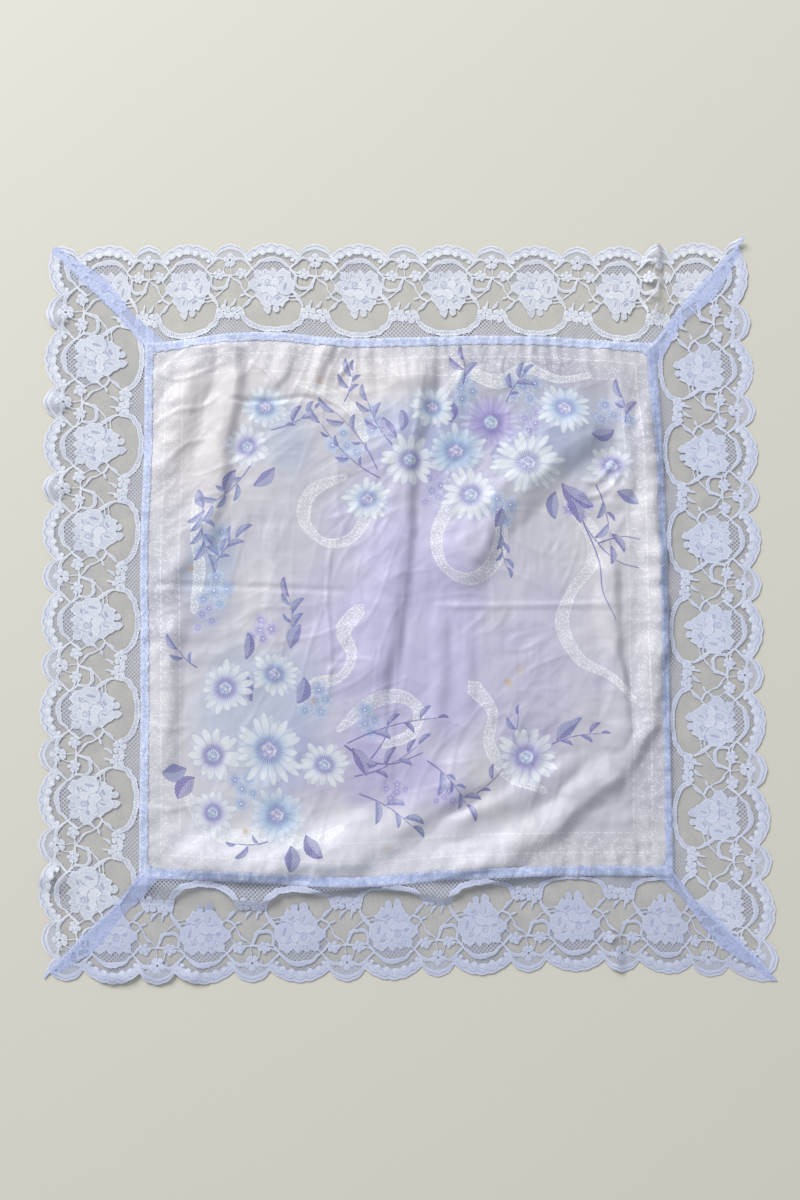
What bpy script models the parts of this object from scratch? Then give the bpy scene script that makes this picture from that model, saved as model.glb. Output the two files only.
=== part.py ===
"""A square scarf spread on a table: a satin panel inside four strips of scalloped lace, mitred at the corners.

X runs to the right, Y to the top edge and Z up from the table. The flat cloth is drawn first, then each of
its points is moved to where it lies (laid) and lifted by the folds (fold_height).
"""

import math

import bmesh
import bpy
import numpy as np

MM = 0.001

# Driving sizes, in metres
PANEL_SEEN = 0.500
PANEL_UNDER_LACE = 0.0067
LACE_WIDTH = 0.102
REPEAT = 0.0875
SATIN_THICK = 0.0012
LACE_THICK = 0.0010
GAP = 0.0003
HALF_SEEN = PANEL_SEEN / 2
HALF_CUT = HALF_SEEN + PANEL_UNDER_LACE

# The heading lies on the satin up to HEADING_FLAT and is down on the table at HEADING_DOWN
HEADING_FLAT = 0.0070
HEADING_DOWN = 0.0120
# Cloth beside the seam is flat for this far, and has its full folds after FOLDS_BACK more
SEAM_FLAT = 0.0030
FOLDS_BACK = 0.0140

# The satin's grid: one cell this wide beside each seam, then even cells
SEAM_CELL = 0.011
EVEN_CELLS = 28

# The scalloped edge, along the lace: a wide scallop over each rose and a small fan between them
WIDE_SPAN = 54.5 * MM
WIDE_RISE = 11.0 * MM
FAN_SPAN = REPEAT - WIDE_SPAN
FAN_RISE = 10.4 * MM
NOTCH_HEIGHT = LACE_WIDTH - WIDE_RISE
WIDE_LOBES = 5
LOBE_DIP = 1.0 * MM
POINTS_PER_LOBE = 3
FAN_POINTS = 5

# Doubled lace beside each mitre seam, which no gap cuts
MITRE_BAND = 0.0075
LEAST_GAP_AREA = 30.0 * MM * MM
RING_POINTS = 8
# Heights over the heading's edge in mm where both lace strips at a mitre have a point on it
MITRE_POINTS = (7, 12, 20, 26, 32, 36, 38, 50, 65, 80)
# Points of a flat outline closer than this are one point
SAME_PLACE = 0.01 * MM
# Halvings in the search for where the scalloped edge meets the mitre
HALVINGS = 40

# The open gaps of one repeat in mm. The window is measured along the lace from the rose's middle and the
# others from the fan's, and all are measured up from the heading's edge.
WINDOW = (
    (-29, 34), (-28, 26), (-20, 17.5), (-8, 14.8), (8, 14.8), (20, 17.5), (28, 26), (29, 34),
    (25, 43.5), (14, 43.5), (8, 37), (-8, 37), (-12.5, 43), (-22, 42.5),
)
FAN_GAPS = {
    "under_sprig": (
        (-16, 47), (-11, 51.5), (-3.5, 58.5), (0.5, 61.5), (7.5, 58.5), (11.5, 52), (15.5, 46.5),
        (9, 39.5), (4.5, 44.5), (-4, 41.5), (-14, 42),
    ),
    "left_of_flower": ((-22, 76.5), (-17, 83), (-11, 85.5), (-8, 81), (-12, 78), (-16, 75.5)),
    "right_of_flower": ((6, 84.5), (13, 84), (19, 77.5), (15.5, 73), (10.5, 75.5), (6.5, 78)),
    "under_flower": ((-5.8, 77.5), (-1.5, 78.5), (-1.5, 72), (-5.5, 73)),
}
RING_MIDDLE = (-11.4, 63.0)
RING_RADII = (6.6, 4.4)

# Strip: the turn from the top edge in quarters, where its roses lie along it in mm, since the lace is eased
# on unevenly, and the extra heights over the heading's edge at which it needs points for its tuck
STRIPS = {
    "lace_top": {"quarters": 0, "roses": (-297, -215, -130, -41, 50, 139, 225, 303), "tuck": ()},
    "lace_left": {"quarters": 1, "roses": (-271, -187, -103, -18, 70, 156, 245), "tuck": ()},
    "lace_bottom": {"quarters": 2, "roses": (-249, -160, -70, 14, 105, 196, 287), "tuck": (20, 26, 32, 38)},
    "lace_right": {"quarters": 3, "roses": (-233, -147, -60, 28, 116, 206, 286), "tuck": ()},
}

# Where the cloth's straight lines lie once it is spread by hand, in mm. Each row holds a line's own place on
# the flat cloth, then its place on the table at these eight stations along it. The bottom lace is tucked
# between its lines at -288 and -276, which is why they lie so close.
STATIONS = np.array((-350, -250, -150, -50, 50, 150, 250, 350)) * MM
LINES_ACROSS = (
    (-352, (-359, -363, -361, -360, -355, -351, -353, -361)),
    (-288, (-295, -299, -297, -296, -291, -287, -289, -297)),
    (-276, (-288, -288, -295, -294, -289, -285, -285, -285)),
    (-250, (-257, -257, -261, -265, -258, -255, -255, -255)),
    (250, (243, 244, 256, 249, 251, 251, 244, 245)),
    (352, (357, 358, 360, 359, 358, 357, 357, 364)),
)
LINES_UP = (
    (-352, (-330, -339, -343, -345, -348, -351, -354, -354)),
    (-286, (-264, -269, -271, -273, -275, -276, -278, -280)),
    (-250, (-232, -235, -237, -240, -244, -243, -245, -248)),
    (250, (249, 248, 250, 250, 251, 250, 245, 246)),
    (262, (259, 258, 258, 260, 261, 260, 258, 259)),
    (286, (278, 277, 277, 279, 280, 279, 277, 277)),
    (352, (351, 349, 348, 349, 351, 352, 351, 349)),
)
# The middle of the laid cloth's box, which goes to the origin
MIDDLE = (-1.05 * MM, 0.25 * MM)

# Ridges of the cloth in mm: the crest's points, its height, its half width to the left and to the right of
# the way that the points run, and the length over which it dies away at its start and its end.
RIDGES = {
    "slant": (
        ((50, -6), (58, 14), (68, 38), (86, 68), (106, 92), (130, 115), (157, 139), (187, 162), (207, 173)),
        9, 70, 28, 42, 30,
    ),
    "middle": (
        ((28, 251), (21, 220), (14, 186), (8, 155), (6, 125), (5, 91), (4, 65), (0, 32), (-5, -1), (-9, -33),
         (-15, -65), (-22, -97), (-28, -123)),
        6.6, 17, 55, 40, 50,
    ),
    "left": (((-164, 256), (-167, 199), (-172, 155), (-178, 115), (-182, 78), (-188, 36)), 5.5, 13, 28, 8, 40),
    "left_outer": (((-190, 256), (-199, 223), (-213, 186), (-227, 138), (-237, 100)), 5, 21, 26, 8, 30),
    "left_low": (((-204, 52), (-216, 19), (-230, -8)), 3.2, 15, 22, 25, 25),
    "left_down": (((-218, -10), (-219, -65), (-219, -113), (-220, -180)), 4.6, 17, 26, 30, 40),
    "pleat_1": (((-106, 254), (-115, 223), (-134, 200)), 2.6, 8, 20, 6, 22),
    "pleat_2": (((-70, 256), (-77, 227), (-95, 196)), 3, 9, 26, 6, 24),
    "top_right": (((200, 254), (213, 224), (220, 182), (224, 140), (214, 108), (188, 88)), 3.5, 22, 15, 8, 25),
    "right_in": (((200, 45), (203, 0), (208, -50), (211, -113), (207, -158)), 5, 10, 20, 30, 25),
    "right_out": (
        ((240, 205), (245, 140), (249, 60), (250, -17), (248, -65), (238, -113), (222, -148), (202, -176)),
        6, 13, 22, 40, 30,
    ),
    "bottom_upper": (
        ((-218, -250), (-150, -257), (-94, -253), (-44, -244), (0, -224), (27, -205), (57, -183), (92, -150)),
        6.5, 44, 21, 30, 50,
    ),
    "bottom_middle": (((30, -226), (69, -209), (101, -193), (148, -172), (182, -156)), 3.4, 14, 20, 25, 35),
    "bottom_lower": (((20, -262), (69, -254), (116, -237), (163, -206), (203, -165), (212, -150)), 7, 26, 17, 30, 30),
    "top_lace_hump": (((256, 362), (257, 331), (257, 300), (252, 270)), 6, 10, 15, 1, 30),
    "bottom_tuck": (((-262, -291), (-150, -296), (-50, -295), (50, -290), (160, -286)), 6, 16, 4, 50, 50),
    "bottom_lace_fold": (((196, -366), (200, -332), (203, -298)), 3, 10, 12, 1, 30),
    "low_edge": (((-292, -356), (-231, -353), (-165, -356)), 3, 16, 16, 25, 25),
    "left_edge_1": (((-362, 281), (-318, 277)), 2.5, 14, 14, 1, 25),
    "left_edge_2": (((-358, 194), (-315, 192)), 2.5, 14, 14, 1, 25),
    "left_edge_3": (((-355, 108), (-311, 107)), 2.5, 14, 14, 1, 25),
    "left_edge_4": (((-343, -268), (-294, -273)), 3, 16, 16, 1, 25),
    "top_right_tip": (((352, 368), (334, 346)), 5, 16, 16, 1, 18),
}
CREST_STEPS = 10
# Ridges that meet are blended by this power: a higher one follows the taller ridge more closely
BLEND_POWER = 3


def smooth_at(stations, values, at):
    """Values of the smooth curve through evenly spaced stations (Catmull-Rom)."""
    step = stations[1] - stations[0]
    place = np.clip((at - stations[0]) / step, 0, len(stations) - 1.001)
    i = place.astype(int)
    f = place - i
    padded = np.concatenate(([2 * values[0] - values[1]], values, [2 * values[-1] - values[-2]]))
    a, b, c, d = (padded[i + k] for k in range(4))
    return b + 0.5 * f * (c - a + f * (2 * a - 5 * b + 4 * c - d + f * (3 * (b - c) + d - a)))


def across_lines(place, along, lines):
    """One laid coordinate: between the laid lines on either side of the flat place."""
    flat = [row[0] * MM for row in lines]
    laid_at = [smooth_at(STATIONS, np.array(row[1]) * MM, along) for row in lines]
    k = np.clip(np.searchsorted(flat, place) - 1, 0, len(lines) - 2)
    low = np.choose(k, laid_at[:-1])
    high = np.choose(k, laid_at[1:])
    start = np.array(flat)[k]
    share = (place - start) / (np.array(flat)[k + 1] - start)
    return low + share * (high - low)


def laid(x, y):
    """Where points of the flat cloth lie on the table."""
    return across_lines(x, y, LINES_UP) - MIDDLE[0], across_lines(y, x, LINES_ACROSS) - MIDDLE[1]


def smooth_step(value):
    t = np.clip(value, 0, 1)
    return t * t * (3 - 2 * t)


def smooth_path(points, steps):
    """Places close together on a smooth curve through the points."""
    knots = np.array(points, float)
    ends = (2 * knots[0] - knots[1], 2 * knots[-1] - knots[-2])
    padded = np.vstack((ends[0], knots, ends[1]))
    places = []
    for i in range(len(knots) - 1):
        a, b, c, d = padded[i : i + 4]
        for f in np.arange(steps) / steps:
            places.append(b + 0.5 * f * (c - a + f * (2 * a - 5 * b + 4 * c - d + f * (3 * (b - c) + d - a))))
    return np.vstack((places, knots[-1]))


def ridge_height(x, y, points, height, left, right, fade_in, fade_out):
    """Height of one ridge, all sizes in mm, at places of the laid cloth in metres."""
    crest = smooth_path(points, CREST_STEPS) * MM
    spans = np.diff(crest, axis=0)
    length = np.concatenate(([0], np.cumsum(np.hypot(spans[:, 0], spans[:, 1]))))
    way = np.vstack((spans, spans[-1]))
    way /= np.hypot(way[:, 0], way[:, 1])[:, None]
    dx = x[:, None] - crest[:, 0]
    dy = y[:, None] - crest[:, 1]
    near = np.argmin(dx * dx + dy * dy, axis=1)
    rows = np.arange(len(x))
    dx, dy = dx[rows, near], dy[rows, near]
    side = way[near, 0] * dy - way[near, 1] * dx
    reach = np.hypot(dx, dy)
    width = np.where(side > 0, left, right) * MM
    bump = 0.5 + 0.5 * np.cos(np.pi * np.clip(reach / width, 0, 1))
    fade = smooth_step((length[near] + 0.2 * MM) / (fade_in * MM))
    fade *= smooth_step((length[-1] - length[near] + 0.2 * MM) / (fade_out * MM))
    return height * MM * bump * fade


def fold_height(flat_x, flat_y):
    """How far the cloth's underside stands off the table. It is flat beside the seams."""
    x, y = laid(flat_x, flat_y)
    x, y = x + MIDDLE[0], y + MIDDLE[1]
    total = sum(ridge_height(x, y, *row) ** BLEND_POWER for row in RIDGES.values())
    out = np.maximum(abs(flat_x), abs(flat_y)) - HALF_SEEN
    inside = smooth_step((-out - SEAM_FLAT) / FOLDS_BACK)
    outside = smooth_step((out - HEADING_DOWN) / FOLDS_BACK)
    return total ** (1 / BLEND_POWER) * np.maximum(inside, outside)


def heading_height(out):
    """The heading lies on the satin, then comes down to the table outside the satin's edge."""
    down = np.clip((HEADING_DOWN - out) / (HEADING_DOWN - HEADING_FLAT), 0, 1)
    return (SATIN_THICK + GAP) * down


def finish(name, colour, roughness):
    """A plain cloth finish."""
    material = bpy.data.materials.new(name)
    material.use_nodes = True
    shader = material.node_tree.nodes["Principled BSDF"]
    shader.inputs["Base Color"].default_value = (*colour, 1)
    shader.inputs["Roughness"].default_value = roughness
    shader.inputs["Metallic"].default_value = 0
    return material


def clear_scene():
    for found in list(bpy.data.objects):
        bpy.data.objects.remove(found, do_unlink=True)


def spread_and_lift(shape, extra_height=None):
    """Moves the points of a flat bmesh to where the cloth lies, and lifts them by its folds."""
    flat = np.array([v.co[:2] for v in shape.verts])
    x, y = laid(flat[:, 0], flat[:, 1])
    z = fold_height(flat[:, 0], flat[:, 1])
    if extra_height is not None:
        z = z + extra_height
    for v, place in zip(shape.verts, zip(x, y, z)):
        v.co = place


def cloth_object(name, shape, thickness, material, collection, parent):
    """An object from an open surface, which is the cloth's underside, given its thickness upwards."""
    mesh = bpy.data.meshes.new(name)
    shape.to_mesh(mesh)
    shape.free()
    mesh.materials.append(material)
    cloth = bpy.data.objects.new(name, mesh)
    collection.objects.link(cloth)
    cloth.parent = parent
    skin = cloth.modifiers.new("thickness", "SOLIDIFY")
    skin.thickness = thickness
    skin.offset = 1
    return cloth


def grid_lines():
    """Where the satin's grid lines are: its edge, the seam, a narrow cell, then even cells."""
    inner = HALF_SEEN - SEAM_CELL
    even = np.linspace(-inner, inner, EVEN_CELLS + 1)
    return np.concatenate(([-HALF_CUT, -HALF_SEEN], even, [HALF_SEEN, HALF_CUT]))


def make_panel(material, collection, parent):
    """The satin square."""
    lines = grid_lines()
    cells = len(lines) - 1
    shape = bmesh.new()
    bmesh.ops.create_grid(shape, x_segments=cells, y_segments=cells, size=0.5)
    for v in shape.verts:
        v.co.x = lines[round((v.co.x + 0.5) * cells)]
        v.co.y = lines[round((v.co.y + 0.5) * cells)]
    spread_and_lift(shape)
    return cloth_object("centre_panel", shape, SATIN_THICK, material, collection, parent)


def arc_rise(u, span, rise):
    """Height of a round arc over its chord, u from the arc's middle."""
    radius = (span**2 / 4 + rise**2) / (2 * rise)
    return math.sqrt(max(radius**2 - u**2, 0)) - (radius - rise)


def rose_places(roses):
    """The roses' places along the strip, with two more past each end, and the number of the first."""
    before = [roses[0] * MM - 2 * REPEAT, roses[0] * MM - REPEAT]
    after = [roses[-1] * MM + REPEAT, roses[-1] * MM + 2 * REPEAT]
    places = before + [rose * MM for rose in roses] + after
    return np.arange(len(places)) - 2, places


def along_strip(roses, repeats):
    """Where a point of the pattern lies, its own place counted in repeats from the first rose's middle."""
    return float(np.interp(repeats, *rose_places(roses)))


def edge_height(repeats):
    """How high the scalloped edge is at a place counted in repeats from a rose's middle."""
    u = ((repeats + 0.5) % 1 - 0.5) * REPEAT
    if abs(u) <= WIDE_SPAN / 2:
        dip = LOBE_DIP * (1 - abs(math.sin(math.pi * WIDE_LOBES * (u / WIDE_SPAN + 0.5))))
        return NOTCH_HEIGHT + arc_rise(u, WIDE_SPAN, WIDE_RISE) - dip * math.cos(math.pi * u / WIDE_SPAN)
    return NOTCH_HEIGHT + arc_rise(REPEAT / 2 - abs(u), FAN_SPAN, FAN_RISE)


def edge_stations():
    """Places along one repeat, from its rose's middle, where the scalloped edge has a point."""
    wide = WIDE_LOBES * POINTS_PER_LOBE
    stations = [WIDE_SPAN * (i / wide - 0.5) for i in range(wide)]
    return stations + [WIDE_SPAN / 2 + FAN_SPAN * i / FAN_POINTS for i in range(FAN_POINTS)]


def mitre_reach(height):
    """Half the strip's length at a height over the heading's edge."""
    return HALF_SEEN + height - GAP / 2 * math.sqrt(2)


def strip_outline(roses):
    """The strip's outline: along the heading, up one mitre, back along the scallops, down the other."""
    numbers, places = rose_places(roses)
    scallops = []
    for number in numbers:
        for u in edge_stations():
            height = edge_height(u / REPEAT)
            along = along_strip(roses, number + u / REPEAT)
            if abs(along) < mitre_reach(height) - MM:
                scallops.append((along, height))
    scallops.sort(reverse=True)
    tips = []
    for side in (1, -1):
        low, high = 0.5 * LACE_WIDTH, 1.2 * LACE_WIDTH
        for _ in range(HALVINGS):
            middle = (low + high) / 2
            inside = edge_height(np.interp(side * mitre_reach(middle), places, numbers)) > middle
            low, high = (middle, high) if inside else (low, middle)
        tips.append((side * mitre_reach(low), low))
    heading = [(x, 0.0) for x in grid_lines() if abs(x) < mitre_reach(0) - MM]
    mitre = [(mitre_reach(height), height) for height in (0.0, *(row * MM for row in MITRE_POINTS))]
    start = [(-reach, height) for reach, height in reversed(mitre)]
    return [*start, *heading, *mitre, tips[0], *scallops, tips[1]]


def clipped(points, inside):
    """The part of an outline where inside(point) is over zero (Sutherland-Hodgman)."""
    kept = []
    for a, b in zip(points, points[1:] + points[:1]):
        at_a, at_b = inside(a), inside(b)
        if at_a > 0:
            kept.append(a)
        if (at_a > 0) != (at_b > 0):
            share = at_a / (at_a - at_b)
            kept.append((a[0] + share * (b[0] - a[0]), a[1] + share * (b[1] - a[1])))
    return kept


def area_of(points):
    pairs = zip(points, points[1:] + points[:1])
    return abs(sum(a[0] * b[1] - b[0] * a[1] for a, b in pairs)) / 2


def ring_gap():
    turns = [2 * math.pi * i / RING_POINTS for i in range(RING_POINTS)]
    return [
        (RING_MIDDLE[0] + RING_RADII[0] * math.cos(a), RING_MIDDLE[1] + RING_RADII[1] * math.sin(a))
        for a in turns
    ]


def strip_gaps(roses):
    """The open gaps of a strip, less what the doubled lace at its mitres covers."""
    shapes = [(0.0, WINDOW), (REPEAT / 2, ring_gap())]
    shapes += [(REPEAT / 2, points) for points in FAN_GAPS.values()]
    gaps = []
    for number in rose_places(roses)[0]:
        for offset, points in shapes:
            outline = [(along_strip(roses, number + (offset + s * MM) / REPEAT), t * MM) for s, t in points]
            outline = clipped(outline, lambda p: mitre_reach(p[1]) - MITRE_BAND * math.sqrt(2) - p[0])
            outline = clipped(outline, lambda p: mitre_reach(p[1]) - MITRE_BAND * math.sqrt(2) + p[0])
            if len(outline) > 2 and area_of(outline) > LEAST_GAP_AREA:
                gaps.append(outline)
    return gaps


def filled_outline(name, outlines):
    """A flat filled shape as a mesh: the first outline less the others."""
    curve = bpy.data.curves.new(name, "CURVE")
    curve.dimensions = "2D"
    curve.fill_mode = "BOTH"
    for points in outlines:
        spline = curve.splines.new("POLY")
        spline.points.add(len(points) - 1)
        for point, (x, y) in zip(spline.points, points):
            point.co = (x, y, 0, 1)
        spline.use_cyclic_u = True
    guide = bpy.data.objects.new(name + "_outline", curve)
    bpy.context.scene.collection.objects.link(guide)
    bpy.context.view_layer.update()
    graph = bpy.context.evaluated_depsgraph_get()
    mesh = bpy.data.meshes.new_from_object(guide.evaluated_get(graph))
    bpy.data.objects.remove(guide, do_unlink=True)
    return mesh


def make_strip(name, quarters, roses, tuck, material, collection, parent):
    """One lace strip with its open gaps, turned to its side of the panel."""
    flat = filled_outline(name, [strip_outline(roses), *strip_gaps(roses)])
    shape = bmesh.new()
    shape.from_mesh(flat)
    bpy.data.meshes.remove(flat)
    bmesh.ops.remove_doubles(shape, verts=shape.verts, dist=SAME_PLACE)
    bmesh.ops.triangulate(shape, faces=shape.faces)
    bmesh.ops.beautify_fill(shape, faces=shape.faces, edges=shape.edges)
    for height in (HEADING_FLAT, HEADING_DOWN, *(row * MM for row in tuck)):
        everything = shape.verts[:] + shape.edges[:] + shape.faces[:]
        bmesh.ops.bisect_plane(
            shape, geom=everything, dist=SAME_PLACE, plane_co=(0, height, 0), plane_no=(0, 1, 0)
        )
    bmesh.ops.dissolve_degenerate(shape, edges=shape.edges, dist=SAME_PLACE)
    bmesh.ops.triangulate(shape, faces=shape.faces)
    bmesh.ops.recalc_face_normals(shape, faces=shape.faces)
    if max(shape.faces, key=lambda face: face.calc_area()).normal.z < 0:
        bmesh.ops.reverse_faces(shape, faces=shape.faces)
    lift = heading_height(np.array([v.co.y for v in shape.verts]))
    turn = quarters * math.pi / 2
    for v in shape.verts:
        s, t = v.co.x, v.co.y + HALF_SEEN
        v.co.x = s * math.cos(turn) - t * math.sin(turn)
        v.co.y = s * math.sin(turn) + t * math.cos(turn)
    spread_and_lift(shape, lift)
    return cloth_object(name, shape, LACE_THICK, material, collection, parent)


def main():
    clear_scene()
    collection = bpy.data.collections.new("lace_scarf")
    bpy.context.scene.collection.children.link(collection)
    origin = bpy.data.objects.new("scarf_origin", None)
    collection.objects.link(origin)
    satin = finish("satin", (0.70, 0.68, 0.76), 0.35)
    lace = finish("lace", (0.66, 0.70, 0.85), 0.80)
    make_panel(satin, collection, origin)
    for name, strip in STRIPS.items():
        make_strip(name, strip["quarters"], strip["roses"], strip["tuck"], lace, collection, origin)


main()
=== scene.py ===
"""Looks of the lace scarf: a printed satin square inside four mitred strips of scalloped lace, laid flat.

Every sheet is drawn flat in millimetres, then laid on the floor and lifted by the folds. Lengths in the
tables are millimetres, and points that Blender gets are metres.
"""

import math

import bpy
import numpy as np
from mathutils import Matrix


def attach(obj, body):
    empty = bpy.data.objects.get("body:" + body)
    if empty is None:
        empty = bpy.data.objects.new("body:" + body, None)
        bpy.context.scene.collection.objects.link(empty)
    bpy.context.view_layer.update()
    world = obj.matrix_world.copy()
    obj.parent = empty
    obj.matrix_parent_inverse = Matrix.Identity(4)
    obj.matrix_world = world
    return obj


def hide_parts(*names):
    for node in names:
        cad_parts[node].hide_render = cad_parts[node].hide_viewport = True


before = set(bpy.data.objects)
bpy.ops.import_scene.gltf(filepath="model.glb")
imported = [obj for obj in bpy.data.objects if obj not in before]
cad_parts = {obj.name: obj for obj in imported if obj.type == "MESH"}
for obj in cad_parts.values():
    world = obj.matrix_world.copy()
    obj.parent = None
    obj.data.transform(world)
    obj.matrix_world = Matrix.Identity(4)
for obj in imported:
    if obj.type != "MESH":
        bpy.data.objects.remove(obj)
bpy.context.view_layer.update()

MM = 0.001

# The flat cloth
HALF_SEEN = 250.0
HALF_CUT = 256.7
LACE_WIDTH = 102.0
REPEAT = 87.5
HALF_REPEAT = REPEAT / 2
WIDE_SPAN = 54.5
WIDE_RISE = 11.0
FAN_SPAN = REPEAT - WIDE_SPAN
FAN_RISE = 10.4
NOTCH_HEIGHT = LACE_WIDTH - WIDE_RISE
WIDE_LOBES = 5
FAN_LOBES = 3
LOBE_DIP = 1.0

# Heights of the sheets over the floor, and the step where the heading comes down off the satin
SATIN_LIFT = 0.7
NET_LIFT = 0.2
PATTERN_LIFT = 0.25
RELIEF = 0.24
HEADING_LIFT = 1.2
HEADING_PRESSED = 0.42
HEADING_EDGE = 1.8
HEADING_FLAT = 7.0
HEADING_DOWN = 12.0
SEAM_REACH = 22.0
SEAM_FADE = 16.0
LACE_SLACK = 0.5
NET_START = 2.2

# The seam allowance folded back at a mitre, narrower towards its tip, and the seam's own cord
FLAP_WIDTH = 12.5
FLAP_WAVE = 1.8
FLAP_TAPER = 5.0
TAPER_START = 70.0
TAPER_LENGTH = 30.0
FLAP_EDGE = 0.8
SEAM_TINT = 3.6
SEAM_CORD = 1.0
SEAM_CORD_PLACE = 0.8
TWIST = 2.1

# Mesh spacings
SATIN_CELL = 1.75
PATTERN_CELL = 0.75
NET_CELL = 1.75

# Where straight lines of the flat cloth lie once spread: a line's flat place, and its laid places at the
# stations along it
STATIONS = np.array((-350, -250, -150, -50, 50, 150, 250, 350), float)
LINES_ACROSS = (
    (-352, (-359, -363, -361, -360, -355, -351, -353, -361)),
    (-288, (-295, -299, -297, -296, -291, -287, -289, -297)),
    (-276, (-288, -288, -295, -294, -289, -285, -285, -285)),
    (-250, (-257, -257, -261, -265, -258, -255, -255, -255)),
    (250, (243, 244, 256, 249, 251, 251, 244, 245)),
    (352, (357, 358, 360, 359, 358, 357, 357, 364)),
)
LINES_UP = (
    (-352, (-330, -339, -343, -345, -348, -351, -354, -354)),
    (-286, (-264, -269, -271, -273, -275, -276, -278, -280)),
    (-250, (-232, -235, -237, -240, -244, -243, -245, -248)),
    (250, (249, 248, 250, 250, 251, 250, 245, 246)),
    (262, (259, 258, 258, 260, 261, 260, 258, 259)),
    (286, (278, 277, 277, 279, 280, 279, 277, 277)),
    (352, (351, 349, 348, 349, 351, 352, 351, 349)),
)
# The middle of the spread scarf, which is moved to the origin
MIDDLE = (-1.05, 0.25)

# Strip: its turn from the top edge in quarters, how far painted shade greys it, how much bluer it is and how
# far painted shade darkens its heading, at which ends its seam allowance shows folded back (-1 at the start,
# 1 at the end), and where its roses lie along it
STRIPS = {
    "lace_top": (0, 0.03, 0.0, (-1,), (-297, -215, -130, -41, 50, 139, 225, 303)),
    "lace_left": (1, 0.10, 0.06, (), (-271, -187, -103, -18, 70, 156, 245)),
    "lace_bottom": (2, 0.32, 0.45, (-1, 1), (-249, -160, -70, 14, 105, 196, 287)),
    "lace_right": (3, 0.10, 0.52, (-1,), (-233, -147, -60, 28, 116, 206, 286)),
}

# Ridges: the crest's points, its height, half widths to the left and the right of the way that the points
# run, and the lengths over which it dies away at its start and its end
RIDGES = {
    "slant": ((
        (50, -6), (58, 14), (68, 38), (86, 68), (106, 92), (130, 115), (157, 139), (187, 162), (207, 173),
    ), 9, 70, 28, 42, 30),
    "middle": ((
        (28, 251), (21, 220), (14, 186), (8, 155), (6, 125), (5, 91), (4, 65), (0, 32), (-5, -1), (-9, -33),
        (-15, -65), (-22, -97), (-28, -123),
    ), 6.6, 17, 55, 40, 50),
    "middle_right": (((52, 235), (50, 190), (46, 145)), 2, 30, 18, 20, 40),
    "low_strip_1": (((36, -8), (36, -65), (33, -113), (29, -150)), 2.2, 14, 12, 30, 40),
    "low_strip_2": (((60, -28), (63, -81), (66, -132)), 2.0, 12, 14, 30, 40),
    "left": ((
        (-164, 256), (-167, 199), (-172, 155), (-178, 115), (-182, 78), (-188, 36),
    ), 5.5, 13, 28, 8, 40),
    "left_outer": (((-190, 256), (-199, 223), (-213, 186), (-227, 138), (-237, 100)), 5, 21, 26, 8, 30),
    "left_low": (((-204, 52), (-216, 19), (-230, -8)), 3.2, 15, 22, 25, 25),
    "left_down": (((-218, -10), (-219, -65), (-219, -113), (-220, -180)), 4.6, 17, 26, 30, 40),
    "pleat_1": (((-106, 254), (-115, 223), (-134, 200)), 2.6, 8, 20, 6, 22),
    "pleat_2": (((-70, 256), (-77, 227), (-95, 196)), 3, 9, 26, 6, 24),
    "top_right_s": ((
        (200, 254), (213, 224), (220, 182), (224, 140), (214, 108), (188, 88),
    ), 3.5, 22, 15, 8, 25),
    "right_in": (((200, 45), (203, 0), (208, -50), (211, -113), (207, -158)), 5, 10, 20, 30, 25),
    "right_out": ((
        (240, 205), (245, 140), (249, 60), (250, -17), (248, -65), (238, -113), (222, -148), (202, -176),
    ), 6, 13, 22, 40, 30),
    "bottom_upper": ((
        (-218, -250), (-150, -257), (-94, -253), (-44, -244), (0, -224), (27, -205), (57, -183), (92, -150),
    ), 6.5, 44, 21, 30, 50),
    "bottom_middle": (((30, -226), (69, -209), (101, -193), (148, -172), (182, -156)), 3.4, 14, 20, 25, 35),
    "bottom_lower": ((
        (20, -262), (69, -254), (116, -237), (163, -206), (203, -165), (212, -150),
    ), 7, 26, 17, 30, 30),
    "top_lace_hump": (((256, 362), (257, 331), (257, 300), (252, 270)), 6, 10, 15, 1, 30),
    "bottom_lace_fold": (((196, -366), (200, -332), (203, -298)), 3, 10, 12, 1, 30),
    "low_edge": (((-292, -356), (-231, -353), (-165, -356)), 3, 16, 16, 25, 25),
    "left_edge_1": (((-362, 281), (-318, 277)), 2.5, 14, 14, 1, 25),
    "left_edge_2": (((-358, 194), (-315, 192)), 2.5, 14, 14, 1, 25),
    "left_edge_3": (((-355, 108), (-311, 107)), 2.5, 14, 14, 1, 25),
    "left_edge_4": (((-343, -268), (-294, -273)), 3, 16, 16, 1, 25),
    "top_right_tip": (((352, 368), (334, 346)), 5, 16, 16, 1, 18),
}
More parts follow.
